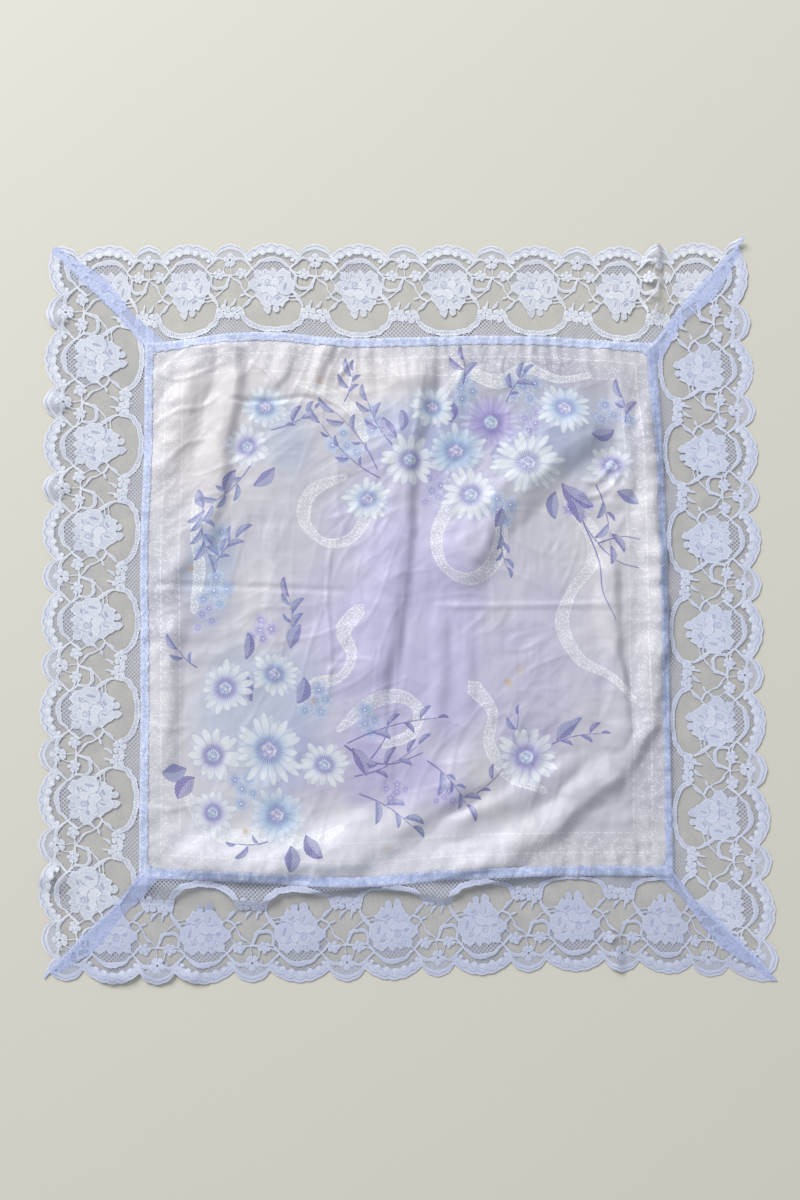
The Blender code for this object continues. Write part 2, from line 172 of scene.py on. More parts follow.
# Creases of the satin, laid over the ridges: a row as above, a trough with a height below zero
CREASES = {
    "pressed_left": (((-240, 11), (-155, 9), (-106, 7), (-40, 4)), -1.0, 5, 6, 8, 30),
    "pressed_right": (((24, -9), (71, -10), (119, -9), (202, -8)), 1.2, 4, 6, 30, 20),
    "pressed_up": (((26, 235), (14, 150), (8, 40), (-2, -60), (-8, -160), (-6, -235)), 0.5, 3, 4, 20, 20),
    "across_left": (((-170, 195), (-125, 194), (-99, 198), (-79, 193), (-54, 183)), -1.8, 5, 4, 10, 20),
    "top_left_1": (((-244, 168), (-222, 182), (-196, 188), (-176, 202)), 0.9, 4, 5, 8, 12),
    "top_left_2": (((-250, 226), (-220, 216), (-196, 222), (-170, 236)), 0.8, 4, 4, 8, 12),
    "top_left_3": (((-230, 130), (-210, 150), (-186, 156)), 0.7, 4, 4, 8, 12),
    "top_1": (((-150, 236), (-130, 222), (-118, 204)), 1.2, 3, 4, 8, 12),
    "top_2": (((-46, 240), (-58, 222), (-64, 204)), 1.2, 3, 4, 8, 12),
    "top_3": (((60, 244), (62, 226), (56, 208)), 1.4, 4, 4, 6, 12),
    "top_4": (((104, 244), (100, 226), (106, 206)), 1.2, 3, 4, 6, 12),
    "left_press": (((-66, 60), (-70, 0), (-66, -60), (-70, -110)), 0.9, 3, 4, 20, 20),
    "right_s_1": (((176, 116), (190, 112), (202, 122), (212, 138)), 1.6, 4, 5, 8, 10),
    "right_s_2": (((172, 104), (188, 98), (204, 106), (218, 124)), 1.3, 4, 5, 8, 10),
    "low_left_1": (((-244, -120), (-222, -128), (-196, -124)), 0.6, 4, 4, 8, 12),
    "low_left_2": (((-246, -196), (-222, -204), (-190, -198)), 0.6, 4, 4, 8, 12),
}
# Small wrinkles of the satin: their way in degrees, pitch, length and height
CRUMPLES = (
    (88, 11, 60, 0.8), (40, 12, 50, 0.8), (5, 13, 60, 0.6), (128, 15, 48, 0.8), (70, 24, 90, 1.7),
    (20, 27, 80, 1.5), (150, 38, 120, 1.6), (100, 44, 130, 1.8),
)
# Crumpled spots of the satin: middle, radius, pitch and height
CRUMPLED = (
    (216, -212, 52, 8.5, 1.0), (222, -212, 60, 17, 1.8), (-210, 208, 60, 19, 2.6), (-60, 222, 60, 15, 1.6),
    (-222, -60, 50, 16, 1.4), (206, 112, 36, 11, 2.2), (90, -206, 60, 18, 1.8), (232, 40, 50, 14, 1.6),
    (-226, -214, 44, 13, 1.6),
)
# Gathers beside a seam: the side, where they start and end along it, height, pitch and how far they reach in
GATHERS = (
    ("top", -70, 240, 2.6, 9.0, 26.0), ("top", -240, -60, 1.4, 13.0, 20.0),
    ("left", -240, 240, 1.2, 14.0, 14.0), ("bottom", -240, 120, 1.1, 12.0, 12.0),
    ("right", -250, 200, 1.6, 9.0, 16.0), ("right", -250, -150, 1.6, 11.0, 30.0),
    ("bottom", 120, 262, 2.8, 10.0, 24.0),
)
# Slow swells that keep any cloth from lying quite flat: height and length
SWELLS = ((1.6, 120), (1.0, 63), (0.5, 31))
# How far the ridges stray from their drawn lines, and how uneven they are in height: size and length
WANDER = ((7, 48), (3, 17))
UNEVEN = ((0.5, 40), (0.16, 14))
# The breadth of a wrinkled patch, how much a wrinkle's crest adds, and the gathers' length and fade
PATCH_LENGTH = 85
CRISP_SHARE = 0.36
GATHER_LENGTH = 70
GATHER_FADE = 30
CREST_STEPS = 8
BLEND_POWER = 3

# The bottom lace's tuck: how far out its inner fold line is at places along the lace, the cloth it hides,
# the least room it takes when laid, its height, where that starts and ends, how fast it fades there, and its
# half width towards the satin
TUCK_PLACES = (-350, -240, -215, -180, -140, -90, -35, 0, 35, 75, 115, 160, 350)
TUCK_HEIGHTS = (16, 16, 20, 25, 26, 15, 9.5, 16, 26, 14, 9.5, 9.5, 9.5)
TUCK_CLOTH = 12.0
TUCK_ROOM = 1.5
TUCK_RISE = 5.0
TUCK_ENDS = (-330, 160)
TUCK_FADES = (90, 60)
TUCK_SPREAD = 15.0


def smooth_at(stations, values, at):
    """Values of the smooth curve through evenly spaced stations (Catmull-Rom)."""
    step = stations[1] - stations[0]
    place = np.clip((at - stations[0]) / step, 0, len(stations) - 1.001)
    i = place.astype(int)
    f = place - i
    padded = np.concatenate(([2 * values[0] - values[1]], values, [2 * values[-1] - values[-2]]))
    a, b, c, d = (padded[i + k] for k in range(4))
    return b + 0.5 * f * (c - a + f * (2 * a - 5 * b + 4 * c - d + f * (3 * (b - c) + d - a)))


def across_lines(place, along, lines):
    """One laid coordinate: between the laid lines on either side of the flat place."""
    flat = np.array([row[0] for row in lines], float)
    laid_at = [smooth_at(STATIONS, np.array(row[1], float), along) for row in lines]
    k = np.clip(np.searchsorted(flat, place) - 1, 0, len(lines) - 2)
    low = np.choose(k, laid_at[:-1])
    high = np.choose(k, laid_at[1:])
    return low + (place - flat[k]) / (flat[k + 1] - flat[k]) * (high - low)


def laid(x, y):
    """Where points of the flat cloth lie, before the whole is moved to the origin."""
    return across_lines(x, y, LINES_UP), across_lines(y, x, LINES_ACROSS)


def smooth_step(value):
    """Rises smoothly from 0 to 1."""
    t = np.clip(value, 0, 1)
    return t * t * (3 - 2 * t)


def smooth_path(points, steps):
    """Places close together on a smooth curve through the points."""
    knots = np.array(points, float)
    padded = np.vstack((2 * knots[0] - knots[1], knots, 2 * knots[-1] - knots[-2]))
    places = []
    for i in range(len(knots) - 1):
        a, b, c, d = padded[i : i + 4]
        for f in np.arange(steps) / steps:
            places.append(b + 0.5 * f * (c - a + f * (2 * a - 5 * b + 4 * c - d + f * (3 * (b - c) + d - a))))
    return np.vstack((places, knots[-1]))


def along_path(x, y, path, open_ends=False):
    """Signed distance to a path, over zero on its left, the run along it there, and its whole length."""
    best = np.full(x.shape, 1e9)
    run = np.zeros(x.shape)
    start = 0.0
    last = len(path) - 2
    for i, (a, b) in enumerate(zip(path, path[1:])):
        w = b - a
        span = math.hypot(*w)
        f = ((x - a[0]) * w[0] + (y - a[1]) * w[1]) / span**2
        f = np.clip(f, -np.inf if open_ends and i == 0 else 0, np.inf if open_ends and i == last else 1)
        dx, dy = x - a[0] - f * w[0], y - a[1] - f * w[1]
        d = np.hypot(dx, dy)
        closer = d < abs(best)
        best = np.where(closer, np.where(w[0] * dy < w[1] * dx, -d, d), best)
        run = np.where(closer, start + f * span, run)
        start += span
    return best, run, start


def near(x, y, path, reach):
    """Which places lie in the box around a path."""
    low, high = path.min(0) - reach, path.max(0) + reach
    return (x > low[0]) & (x < high[0]) & (y > low[1]) & (y < high[1])


def ridge_height(x, y, points, height, left, right, fade_in, fade_out):
    """Height of one ridge at places of the laid cloth."""
    crest = smooth_path(points, CREST_STEPS)
    close = near(x, y, crest, max(left, right))
    distance, run, length = along_path(x[close], y[close], crest)
    width = np.where(distance > 0, left, right)
    bump = 0.5 + 0.5 * np.cos(np.pi * np.clip(abs(distance) / width, 0, 1))
    fade = smooth_step((run + 0.2) / fade_in) * smooth_step((length - run + 0.2) / fade_out)
    total = np.zeros(len(x))
    total[close] = height * bump * fade
    return total


def hashed(i, j, seed):
    """Random numbers from 0 to 1 that whole numbers stand for."""
    value = np.sin(i * 127.1 + j * 311.7 + seed * 74.7) * 43758.5453
    return value - np.floor(value)


def soft_noise(x, y, seed):
    """Smooth random waves, one swing or so a unit, mostly from -0.5 to 0.5."""
    i, j = np.floor(x), np.floor(y)
    total = 0.0
    for near_i in (i, i + 1):
        for near_j in (j, j + 1):
            way = 2 * np.pi * hashed(near_i, near_j, seed)
            weight = smooth_step(1 - abs(x - near_i)) * smooth_step(1 - abs(y - near_j))
            total = total + weight * (np.cos(way) * (x - near_i) + np.sin(way) * (y - near_j))
    return total


def waves(x, y, rows, seed):
    """Random waves laid over each other, each of its own size and length."""
    return sum(size * soft_noise(x / length, y / length, seed + k) for k, (size, length) in enumerate(rows))


def fold_height(x, y, slack=1.0):
    """How far the cloth stands off the floor at places where it is laid. Slack scales its slow swells."""
    strayed_x = x + waves(x, y, WANDER, 1)
    strayed_y = y + waves(x, y, WANDER, 3)
    total = sum(ridge_height(strayed_x, strayed_y, *row) ** BLEND_POWER for row in RIDGES.values())
    swell = sum(height * (0.5 + soft_noise(x / length, y / length, length)) for height, length in SWELLS)
    return total ** (1 / BLEND_POWER) * (1 + waves(x, y, UNEVEN, 5)) + slack * swell


def crumple_height(x, y):
    """Small wrinkles of the satin, and gathers running in from its seams."""
    total = 0.0
    for seed, (way, pitch, length, height) in enumerate(CRUMPLES, 20):
        c, n = math.cos(math.radians(way)), math.sin(math.radians(way))
        wave = soft_noise((y * c - x * n) / pitch, (x * c + y * n) / length, seed)
        crisp = np.clip(1 - abs(wave) * 7, 0, 1) ** 2
        there = np.clip(0.5 + 2.2 * soft_noise(x / PATCH_LENGTH, y / PATCH_LENGTH, seed + 20), 0, 1)
        total = total + height * there * (wave + CRISP_SHARE * crisp)
    for seed, (x_middle, y_middle, radius, pitch, height) in enumerate(CRUMPLED, 80):
        there = smooth_step(1.3 - np.hypot(x - x_middle, y - y_middle) / radius)
        total = total + height * there * soft_noise(x / pitch, y / pitch, seed)
    for seed, (side, start, end, height, pitch, reach) in enumerate(GATHERS, 60):
        along, out = (x, abs(y)) if side in ("top", "bottom") else (y, abs(x))
        on_side = {"top": y, "bottom": -y, "left": -x, "right": x}[side] > 0
        fade = smooth_step((along - start) / GATHER_FADE) * smooth_step((end - along) / GATHER_FADE)
        depth = on_side * np.exp(-np.maximum(HALF_SEEN - out, 0) / reach)
        total = total + height * fade * depth * soft_noise(along / pitch, out / GATHER_LENGTH, seed)
    return total


def heading_height(t):
    """The heading's height: on the satin, its edge pressed down, then coming down to the floor beside it."""
    down = np.clip((HEADING_DOWN - t) / (HEADING_DOWN - HEADING_FLAT), 0, 1)
    return HEADING_LIFT * down - HEADING_PRESSED * smooth_step((HEADING_EDGE - t) / HEADING_EDGE)


def wrapped(s, middle):
    """Places along the lace as seen from the nearest repeat of a middle."""
    return (s - middle + HALF_REPEAT) % REPEAT - HALF_REPEAT


def arc_rise(u, span, rise):
    """Height of a round arc over its chord, u from the arc's middle."""
    radius = (span**2 / 4 + rise**2) / (2 * rise)
    return np.sqrt(np.maximum(radius**2 - u**2, 0)) - (radius - rise)


def edge_height(u):
    """How high the scalloped edge is at a place from the nearest rose's middle."""
    lobes = 1 - abs(np.sin(np.pi * WIDE_LOBES * (u / WIDE_SPAN + 0.5)))
    wide = arc_rise(u, WIDE_SPAN, WIDE_RISE) - LOBE_DIP * lobes * np.cos(np.pi * u / WIDE_SPAN)
    fan_lobes = 1 - abs(np.sin(np.pi * FAN_LOBES * (HALF_REPEAT - abs(u)) / FAN_SPAN + np.pi / 2))
    fan = arc_rise(HALF_REPEAT - abs(u), FAN_SPAN, FAN_RISE) - 0.7 * LOBE_DIP * fan_lobes
    return NOTCH_HEIGHT + np.where(abs(u) <= WIDE_SPAN / 2, wide, fan)


# The lace's pattern, from the middle of a rose or, in the fan's tables, of the fan between two roses, and up
# from the heading's edge. A cord has its half widths from end to end and its points.
ROSE_CORDS = {
    "arch": ((0.8, 1.3, 1.8, 2.4, 2.9, 3.0, 2.8, 2.2, 1.5, 0.8), (
        (-21, 75), (-16.5, 78.6), (-12, 82.2), (-6, 84.5), (0, 85), (6.5, 84.6), (11.5, 82), (15.5, 78.8),
        (19, 75.5),
    )),
    "notch_right": ((0.8, 0.7), (
        (27.2, 91), (26, 87), (23.5, 82.5), (20.8, 78.5), (19, 75.5), (18.8, 71), (18.2, 66.5),
    )),
    "notch_left": ((0.8, 0.7), ((-27.5, 91), (-27, 86), (-25, 81), (-21, 75.5), (-18.2, 72.5))),
    "arch_end": ((0.8, 1.0, 0.7), ((-20.5, 75.2), (-24, 72.2), (-27.6, 69.2))),
    "stem_left": ((0.7, 1.9, 1.9, 0.8, 0.8), (
        (-30.5, 34.5), (-27.4, 38), (-24, 41.6), (-21, 44), (-16.5, 47.5),
    )),
    "stem_right": ((0.6, 0.6), ((15, 44.6), (20, 43.8), (25, 43.9), (29.4, 40.4), (30.6, 36.2))),
    "leaf_right": ((0.5, 1.2, 2.0, 1.7, 0.7), (
        (21.4, 50.6), (24, 47.8), (26.6, 45), (28.6, 42.2), (30, 38.8),
    )),
}
FAN_CORDS = {
    "border": ((0.8, 0.8), (
        (-25.5, 75.6), (-22, 72.6), (-17, 70.6), (-9, 69.2), (-0.6, 68.9), (6, 69.4), (12, 68.3),
        (18.4, 69.5), (22.5, 73.5), (25, 77.5),
    )),
    "arch_left": ((0.8, 1.4, 1.9, 1.9, 1.0), (
        (-25, 75.6), (-21, 80.4), (-16.6, 84.6), (-11.5, 86.6), (-6.6, 85.6),
    )),
    "arch_right": ((1.0, 1.9, 1.9, 1.4, 0.8), (
        (4.6, 85), (8.4, 86.2), (14, 84.8), (18.6, 80.8), (22.6, 75.8),
    )),
    "bar_right": ((0.6, 0.6), ((1.4, 68.4), (0.6, 74), (0.2, 80.5))),
    "bar_left": ((0.6, 0.6), ((-4.8, 82), (-6.4, 77.6), (-6.6, 73.6), (-5.4, 70))),
    "ring": ((1.5, 1.7, 1.8, 1.9, 1.9, 1.5, 1.0), (
        (-19.2, 68), (-20.2, 61.2), (-17.2, 57), (-11.8, 55.6), (-6.6, 57.2), (-3.6, 60.8), (-1, 66.5),
    )),
    "ring_top": ((0.8, 0.8), (
        (-24, 74), (-20.5, 69.6), (-17, 68.2), (-11.4, 68.6), (-5, 68.2), (0.4, 67.6),
    )),
    "loop": ((0.7, 0.7), (
        (-0.2, 67.2), (-1.6, 61.5), (-6.2, 55.2), (-12.4, 50.2), (-18.5, 47.6), (-24, 47.2), (-31, 47),
    )),
    "sprig": ((0.7, 1.0, 1.6, 1.2, 0.8, 0.9, 1.4, 1.2, 0.7), (
        (1, 67.2), (4, 64.6), (8.2, 62.6), (11.6, 59), (12.4, 55.8), (14.6, 52.6), (16.6, 49.4), (19.5, 47),
        (25, 44.5),
    )),
    "bud": ((0.5, 1.3, 1.5, 0.8), ((15.4, 50.8), (17.6, 52.6), (19.8, 54.4), (21.8, 55.6))),
    "bud_low": ((0.5, 1.2, 1.3, 0.6), ((15.8, 49.8), (13.4, 48.6), (11.6, 47.6), (10, 46.2))),
    "side_vine": ((0.6, 0.6), ((12.8, 69), (17.5, 63.5), (21, 58.5), (24.5, 53), (27.5, 47))),
    "leaf_left": ((0.6, 1.3, 1.7, 1.3, 0.6), (
        (-23.6, 54.6), (-20.4, 51), (-17.8, 47.4), (-15.2, 43.4), (-12.6, 38.6),
    )),
    "spike_high": ((0.6, 1.8, 1.3, 0.5), ((0, 36.5), (2.4, 39.2), (4.4, 41.6), (6.2, 44.6))),
    "spike_left": ((0.6, 1.5, 1.0, 0.4), ((-5.5, 38), (-5, 40.4), (-4.6, 42.2), (-4.2, 44.4))),
    "spike_low": ((0.6, 1.5, 1.2, 0.4), ((0.2, 32), (-0.6, 27.6), (-1.4, 25), (-1.8, 22.2))),
    "ring_leaf": ((0.5, 1.4, 1.6, 1.0), ((-1.2, 66), (-2.2, 62.5), (-2.8, 59.6), (-3.6, 56.8))),
}
# Beads under the wide scallop: middle and radius
BEADS = (
    (-23.0, 84.4, 2.3), (-17.6, 89.4, 2.6), (-10, 92.0, 3.1), (-1.2, 93.8, 3.2), (7.6, 92.4, 3.2),
    (15.6, 89.2, 2.7), (20.4, 84.4, 2.1),
)
# Two prongs under the rose, of thinner cloth: outlines
PRONGS = (
    ((-9.2, 37), (-8.8, 32.5), (-4.6, 28.6), (-1.4, 31.5), (-0.4, 36), (-3.5, 38)),
    ((0.8, 37.5), (1.4, 32.8), (4, 29.6), (6.8, 31.8), (7.2, 35.4), (4.5, 38)),
)
# The rose's petals from the back to the front, its ground first: tone and outline
PETALS = (
    (0.30, (
        (-18, 72), (-12, 72.4), (-6, 73), (0, 73.4), (6, 72), (12, 73.6), (17, 71), (19.5, 66), (22, 60),
        (21, 52), (16, 46), (11, 38), (4, 37.4), (-4, 37), (-11, 40), (-16, 46), (-19, 52), (-24, 57),
        (-22, 63), (-17.6, 66),
    )),
    (0.62, (
        (-17.5, 73.6), (-18.8, 69), (-16, 65), (-11, 63.5), (-8.4, 67), (-9.8, 71.4), (-11.8, 73.4),
        (-14.6, 74.4),
    )),
    (0.66, ((-9.4, 72.8), (-10.4, 67), (-7, 63.5), (-3, 66), (-2.4, 70.6), (-4.6, 73.4), (-7.2, 74.8))),
    (0.78, (
        (6, 71), (5.5, 66.5), (9, 63), (14, 65), (18, 68.5), (17.2, 73.2), (14.2, 74.2), (11.4, 76.2),
        (8.4, 74),
    )),
    (0.72, ((-3.5, 71), (-3, 65), (1, 62.5), (5, 66), (5.8, 71), (4, 74), (1.2, 76.6), (-1.4, 74))),
    (0.70, (
        (-25.6, 60.4), (-24.4, 56), (-20, 53), (-15, 51.6), (-10.5, 54), (-8, 58), (-9.4, 62), (-15, 64),
        (-20.5, 64.4),
    )),
    (0.80, ((-9.6, 65), (-10, 60), (-6, 56), (-1, 56.5), (2.4, 60), (1.4, 65), (-2.6, 68.4), (-7, 68))),
    (0.98, ((-1, 58), (1.4, 64.5), (4.4, 66), (7.6, 62.5), (9, 57), (7, 51), (2, 48), (-2, 51))),
    (0.76, (
        (-16.4, 51), (-17.6, 46), (-13.6, 42.4), (-11.4, 38.2), (-7.4, 36), (-2.2, 35.6), (0.4, 38),
        (1, 44), (-1.5, 49.5), (-7, 51), (-12, 52),
    )),
    (0.80, (
        (-0.5, 46), (0, 38.6), (3.6, 36), (8, 37.4), (11.4, 35.8), (13.2, 40), (16.8, 44.4), (15.6, 48.6),
        (9, 50), (4, 49),
    )),
    (0.86, (
        (6.6, 58.5), (9.2, 62.8), (13, 64.8), (18.6, 66.6), (21.6, 63.4), (22.6, 57), (21.4, 50.6),
        (17, 48.6), (11.5, 48), (7.6, 50), (5.6, 54),
    )),
    (1.02, (
        (-16.8, 50.6), (-13, 55.4), (-7.2, 57.8), (-1, 57.8), (3.4, 55.4), (5.4, 50.4), (2.2, 46),
        (-2.2, 48.4), (-7, 50), (-12, 49.4),
    )),
)
# Dark creases of the rose: half width and points
CREASES_DARK = (
    (0.45, ((-8, 58.4), (-5, 57.6), (-1, 58), (1.6, 57.2), (3, 55.8))),
    (0.45, ((1.2, 45.4), (5, 47.4), (9.6, 48.3), (13.6, 47.7), (19.6, 49.8))),
    (0.4, ((-14, 51.4), (-10, 49.4), (-6, 49.9), (-2.6, 48.6))),
    (0.35, ((-4.6, 58.4), (-7, 60.6), (-6, 63.4), (-3, 63.6), (-1.8, 61), (-3.6, 60), (-4.8, 61.4))),
    (0.3, ((7, 59), (9.4, 62.6), (13, 64.6))),
    (0.3, ((-9, 66), (-7.4, 69), (-7, 72))),
)
# Thin places in the rose, where its net shows: middle, half sizes and turn
EYES = (
    (13.4, 56.8, 1.7, 4.4, -22), (6.6, 44.6, 3.4, 1.7, 12), (-5.0, 44.2, 1.1, 3.4, -12),
    (-13.0, 57.6, 2.8, 2.0, 10), (10.2, 66.4, 2.8, 1.3, 15), (1.4, 66.2, 1.1, 1.9, -10),
    (-12.6, 68.6, 0.9, 2.4, 20),
)
# Small flowers: middle, radius, petals, turn and the hole's radius
FLOWERS = (
    (-7.0, 32.4, 7.6, 5, 20, 1.2), (7.0, 30.4, 7.4, 5, 60, 1.2), (0.0, 84.2, 7.2, 5, 90, 1.3),
    (-12.0, 70.6, 5.6, 5, 10, 0.6), (12.2, 70.4, 5.8, 5, 40, 0.6),
)
# The border along the edge, and the shells inside it: pitch, shift, how deep they dip, how deep all goes,
# and how far from the wide scallop's ends they stop. Beside the fans the border goes less deep.
BORDER_WIDTH = 2.3
SHELL_PITCH = 10.3
SHELL_SHIFT = 0.8
SHELL_DIP = 1.9
SHELL_DEPTH = 9.4
SHELL_END = 1.5
FAN_DEPTH = 5.2
FAN_SWING = 0.9
DARK_LINE = 0.42
ROPE_OUTER = (
    (-33.5, 30.5), (-31.2, 24), (-27.4, 19.2), (-21.6, 15), (-12.7, 11.8), (0, 10.4), (12.7, 11.8),
    (21.6, 15), (27.4, 19.2), (31.2, 24), (33.5, 30.5),
)
ROPE_WIDTH = 4.3
ROPE_BEAT = 0.16
RUNG_PITCH = 2.7
RUNG_HALF = 0.75
RUNG_SLANT = 0.22
# The heading's top, and its rows of stitches: height and tone
HEADING_TOP = 9.2
STITCHES = ((1.9, 0.9), (4.4, 0.2), (6.8, 0.85))
CORD_SHARE = 0.82
PATH_STEPS = 4
FAR_OUT = -9.0


def waver(s, t, start):
    """How far the hand of the maker strays, the same in every repeat."""
    turns = 2 * np.pi * s / REPEAT
    return 0.35 * np.sin(6 * turns + t / 4.1 + start) + 0.14 * np.sin(17 * turns - t / 1.7 + 2 * start)


class Tile:
    """One repeat of the lace, drawn on a grid: how far inside the cloth, how high and how dense."""

    def __init__(self, cell):
        self.cell = cell
        self.per_repeat = round(REPEAT / cell)
        self.heights = np.arange(-2 * cell, LACE_WIDTH + 2 * cell, cell)
        self.s, self.t = np.meshgrid(np.arange(self.per_repeat) * REPEAT / self.per_repeat, self.heights)
        self.drawn_s = self.s + waver(self.s, self.t, 0)
        self.drawn_t = self.t + waver(self.s, self.t, 2)
        self.from_rose = wrapped(self.s, 0)
        self.edge = edge_height(self.from_rose) - self.t
        self.solid = np.full(self.s.shape, FAR_OUT)
        self.lift = np.zeros(self.s.shape)
        self.tone = np.full(self.s.shape, 0.5)

    def near_path(self, points, offset):
        """Signed distance to a smooth path, the run along it there, and its whole length."""
        path = smooth_path(points, PATH_STEPS)
        middle = path[:, 0].mean()
        return along_path(wrapped(self.drawn_s, offset + middle) + middle, self.drawn_t, path)

    def add(self, inside, tone, height=1.0, round_over=0.7):
        """Adds cloth where inside is over zero."""
        raised = height * np.clip(inside / round_over, 0, 1) ** 0.5
        on_top = inside > 0
        self.tone = np.where(on_top, tone, self.tone)
        self.lift = np.where(on_top, np.maximum(raised, self.lift * 0.6), self.lift)
        self.solid = np.maximum(self.solid, inside)

    def line(self, distance, half, tone, height=1.0, there=True):
        """Adds a thin cord along the places where a distance is zero."""
        self.add(np.where(there, half - abs(distance), FAR_OUT), tone, height)

    def cord(self, widths, points, offset, tone=0.85):
        """Adds a cord with its own widths, its middle darker than its rims."""
        distance, run, length = self.near_path(points, offset)
        inside = CORD_SHARE * np.interp(run / length, np.linspace(0, 1, len(widths)), widths) - abs(distance)
        self.add(inside, np.where(inside > 0.65, tone - 0.45, tone))

    def press(self, there, tone, lift=None):
        """Gives the cloth at some places another tone, and another height if there is one."""
        self.tone = np.where(there, tone, self.tone)
        if lift is not None:
            self.lift = np.where(there, lift, self.lift)

    def within(self, outline):
        """How far inside a smooth closed outline."""
        points = np.array(outline, float)
        ring = smooth_path([*points, points[0]], PATH_STEPS)
        middle = ring[:, 0].mean()
        x, y = wrapped(self.drawn_s, middle) + middle, self.drawn_t
        odd = np.zeros(x.shape, bool)
        for (ax, ay), (bx, by) in zip(ring, ring[1:]):
            if ay != by:
                odd ^= ((ay > y) != (by > y)) & (x < ax + (y - ay) / (by - ay) * (bx - ax))
        return np.where(odd, 1, -1) * abs(along_path(x, y, ring)[0])

    def oval(self, x, y, half_x, half_y, turn, ruffle=0.0):
        """How far inside an oval, ruffled if asked, in about mm."""
        dx, dy = wrapped(self.drawn_s, x), self.drawn_t - y
        c, n = math.cos(math.radians(turn)), math.sin(math.radians(turn))
        u, v = (dx * c + dy * n) / half_x, (dy * c - dx * n) / half_y
        around = np.arctan2(v, u)
        reach = 1 + ruffle * (np.cos(around * 5 + x) + 0.6 * np.cos(around * 9 + y))
        return (1 - np.hypot(u, v) / reach) * min(half_x, half_y)


def draw_rope(tile):
    """Two cords with slanting rungs, between the window and the net beside it. Returns the way across it."""
    across, run, _ = tile.near_path(ROPE_OUTER, 0)
    between = np.minimum(across, ROPE_WIDTH - across)
    tile.add(between, tone=-0.30, height=0.1)
    rung = RUNG_HALF - abs((run / RUNG_PITCH + across * RUNG_SLANT) % 1 - 0.5) * RUNG_PITCH
    tile.add(np.minimum(rung, between), tone=0.75, height=0.5)
    beat = ROPE_BEAT * np.sin(2 * np.pi * run / RUNG_PITCH)
    tile.line(across, 0.58 + beat, tone=0.95)
    tile.line(across - ROPE_WIDTH, 0.55 - beat, tone=0.85)
    return across


def draw_heading(tile):
    """The dense band at the seam, wavy at both edges, with rows of stitches."""
    turns = 2 * np.pi * tile.s / REPEAT
    scallops = 1.2 * abs(np.sin(turns * 4 + 0.7 * np.sin(turns * 3)))
    lower = tile.t + 0.5 - scallops + 0.25 * np.sin(turns * 23)
    upper = HEADING_TOP + 0.4 * np.sin(turns * 20) - tile.t
    tile.add(np.minimum(lower, upper), tone=0.55, height=0.5)
    for row, tone in STITCHES:
        ragged = 0.45 * np.sin(turns * 28 + 2 * np.sin(turns * 5 + row)) + 0.3 * np.sin(turns * 11 + row)
        tile.line(tile.t - row - ragged, 0.5 + 0.3 * np.sin(turns * 17 + row), tone, height=0.8)


def draw_edge(tile):
    """The light border, the dark wavy line in it, the shells, and the beads along the scalloped edge with
    painted shadow round each.
    """
    u, edge = tile.from_rose, tile.edge
    wide = abs(u) < WIDE_SPAN / 2 - SHELL_END
    swing = np.where(wide, abs(np.cos(np.pi * (u + SHELL_SHIFT) / SHELL_PITCH)), FAN_SWING)
    line = BORDER_WIDTH + SHELL_DIP * (1 - swing)
    depth = np.where(wide, SHELL_DEPTH + 0.5 * np.cos(2 * np.pi * tile.s * 24 / REPEAT), FAN_DEPTH)
    tile.add(np.minimum(edge, depth - edge), tone=0.62, height=0.2)
    tile.line(edge - 0.5, 0.55, tone=0.95, height=0.5)
    tile.line(edge - line - 0.9, 0.45, tone=0.95, height=0.6)
    tile.line(edge - line - 3.0 - 1.2 * (1 - swing), 0.4, tone=0.95, height=0.5, there=wide)
    tile.line(edge - FAN_DEPTH, 0.45, tone=0.85, height=0.4, there=~wide)
    tile.press(abs(edge - line) < DARK_LINE, -0.75, 0.0)
    for x, y, radius in BEADS:
        inside = tile.oval(x, y, radius, radius * 0.92, 0, ruffle=0.07)
        # Painted shadow: a dark ring on the cloth just round each bead
        tile.press((inside <= 0) & (inside > -0.6) & (tile.solid > 0), 0.1)
        tile.add(inside, tone=1.05, round_over=1.8)


def draw_flower(tile, x, y, radius, petals, turn, hole):
    """A small flower with pale rims, creases between its petals, and a ringed hole in its middle."""
    dx, dy = wrapped(tile.drawn_s, x + HALF_REPEAT), tile.drawn_t - y
    r = np.hypot(dx, dy)
    around = np.arctan2(dy, dx) - math.radians(turn)
    swing = abs(np.cos(petals * around / 2)) ** 0.6
    inside = radius * (0.62 + 0.38 * swing) - r
    tile.add(inside, np.where(inside < 0.8, 1.1, 0.62), height=0.9, round_over=1.2)
    off_gap = abs((around * petals / (2 * np.pi)) % 1 - 0.5) * r * 2 * math.pi / petals
    tile.press((off_gap < 0.5) & (inside > -0.6) & (r > hole + 0.5), -0.1, 0.2)
    tile.press((inside > 0) & (abs(r - hole - 0.7) < 0.4), 1.0)
    tile.solid = np.where(r < hole, np.minimum(tile.solid, r - hole), tile.solid)


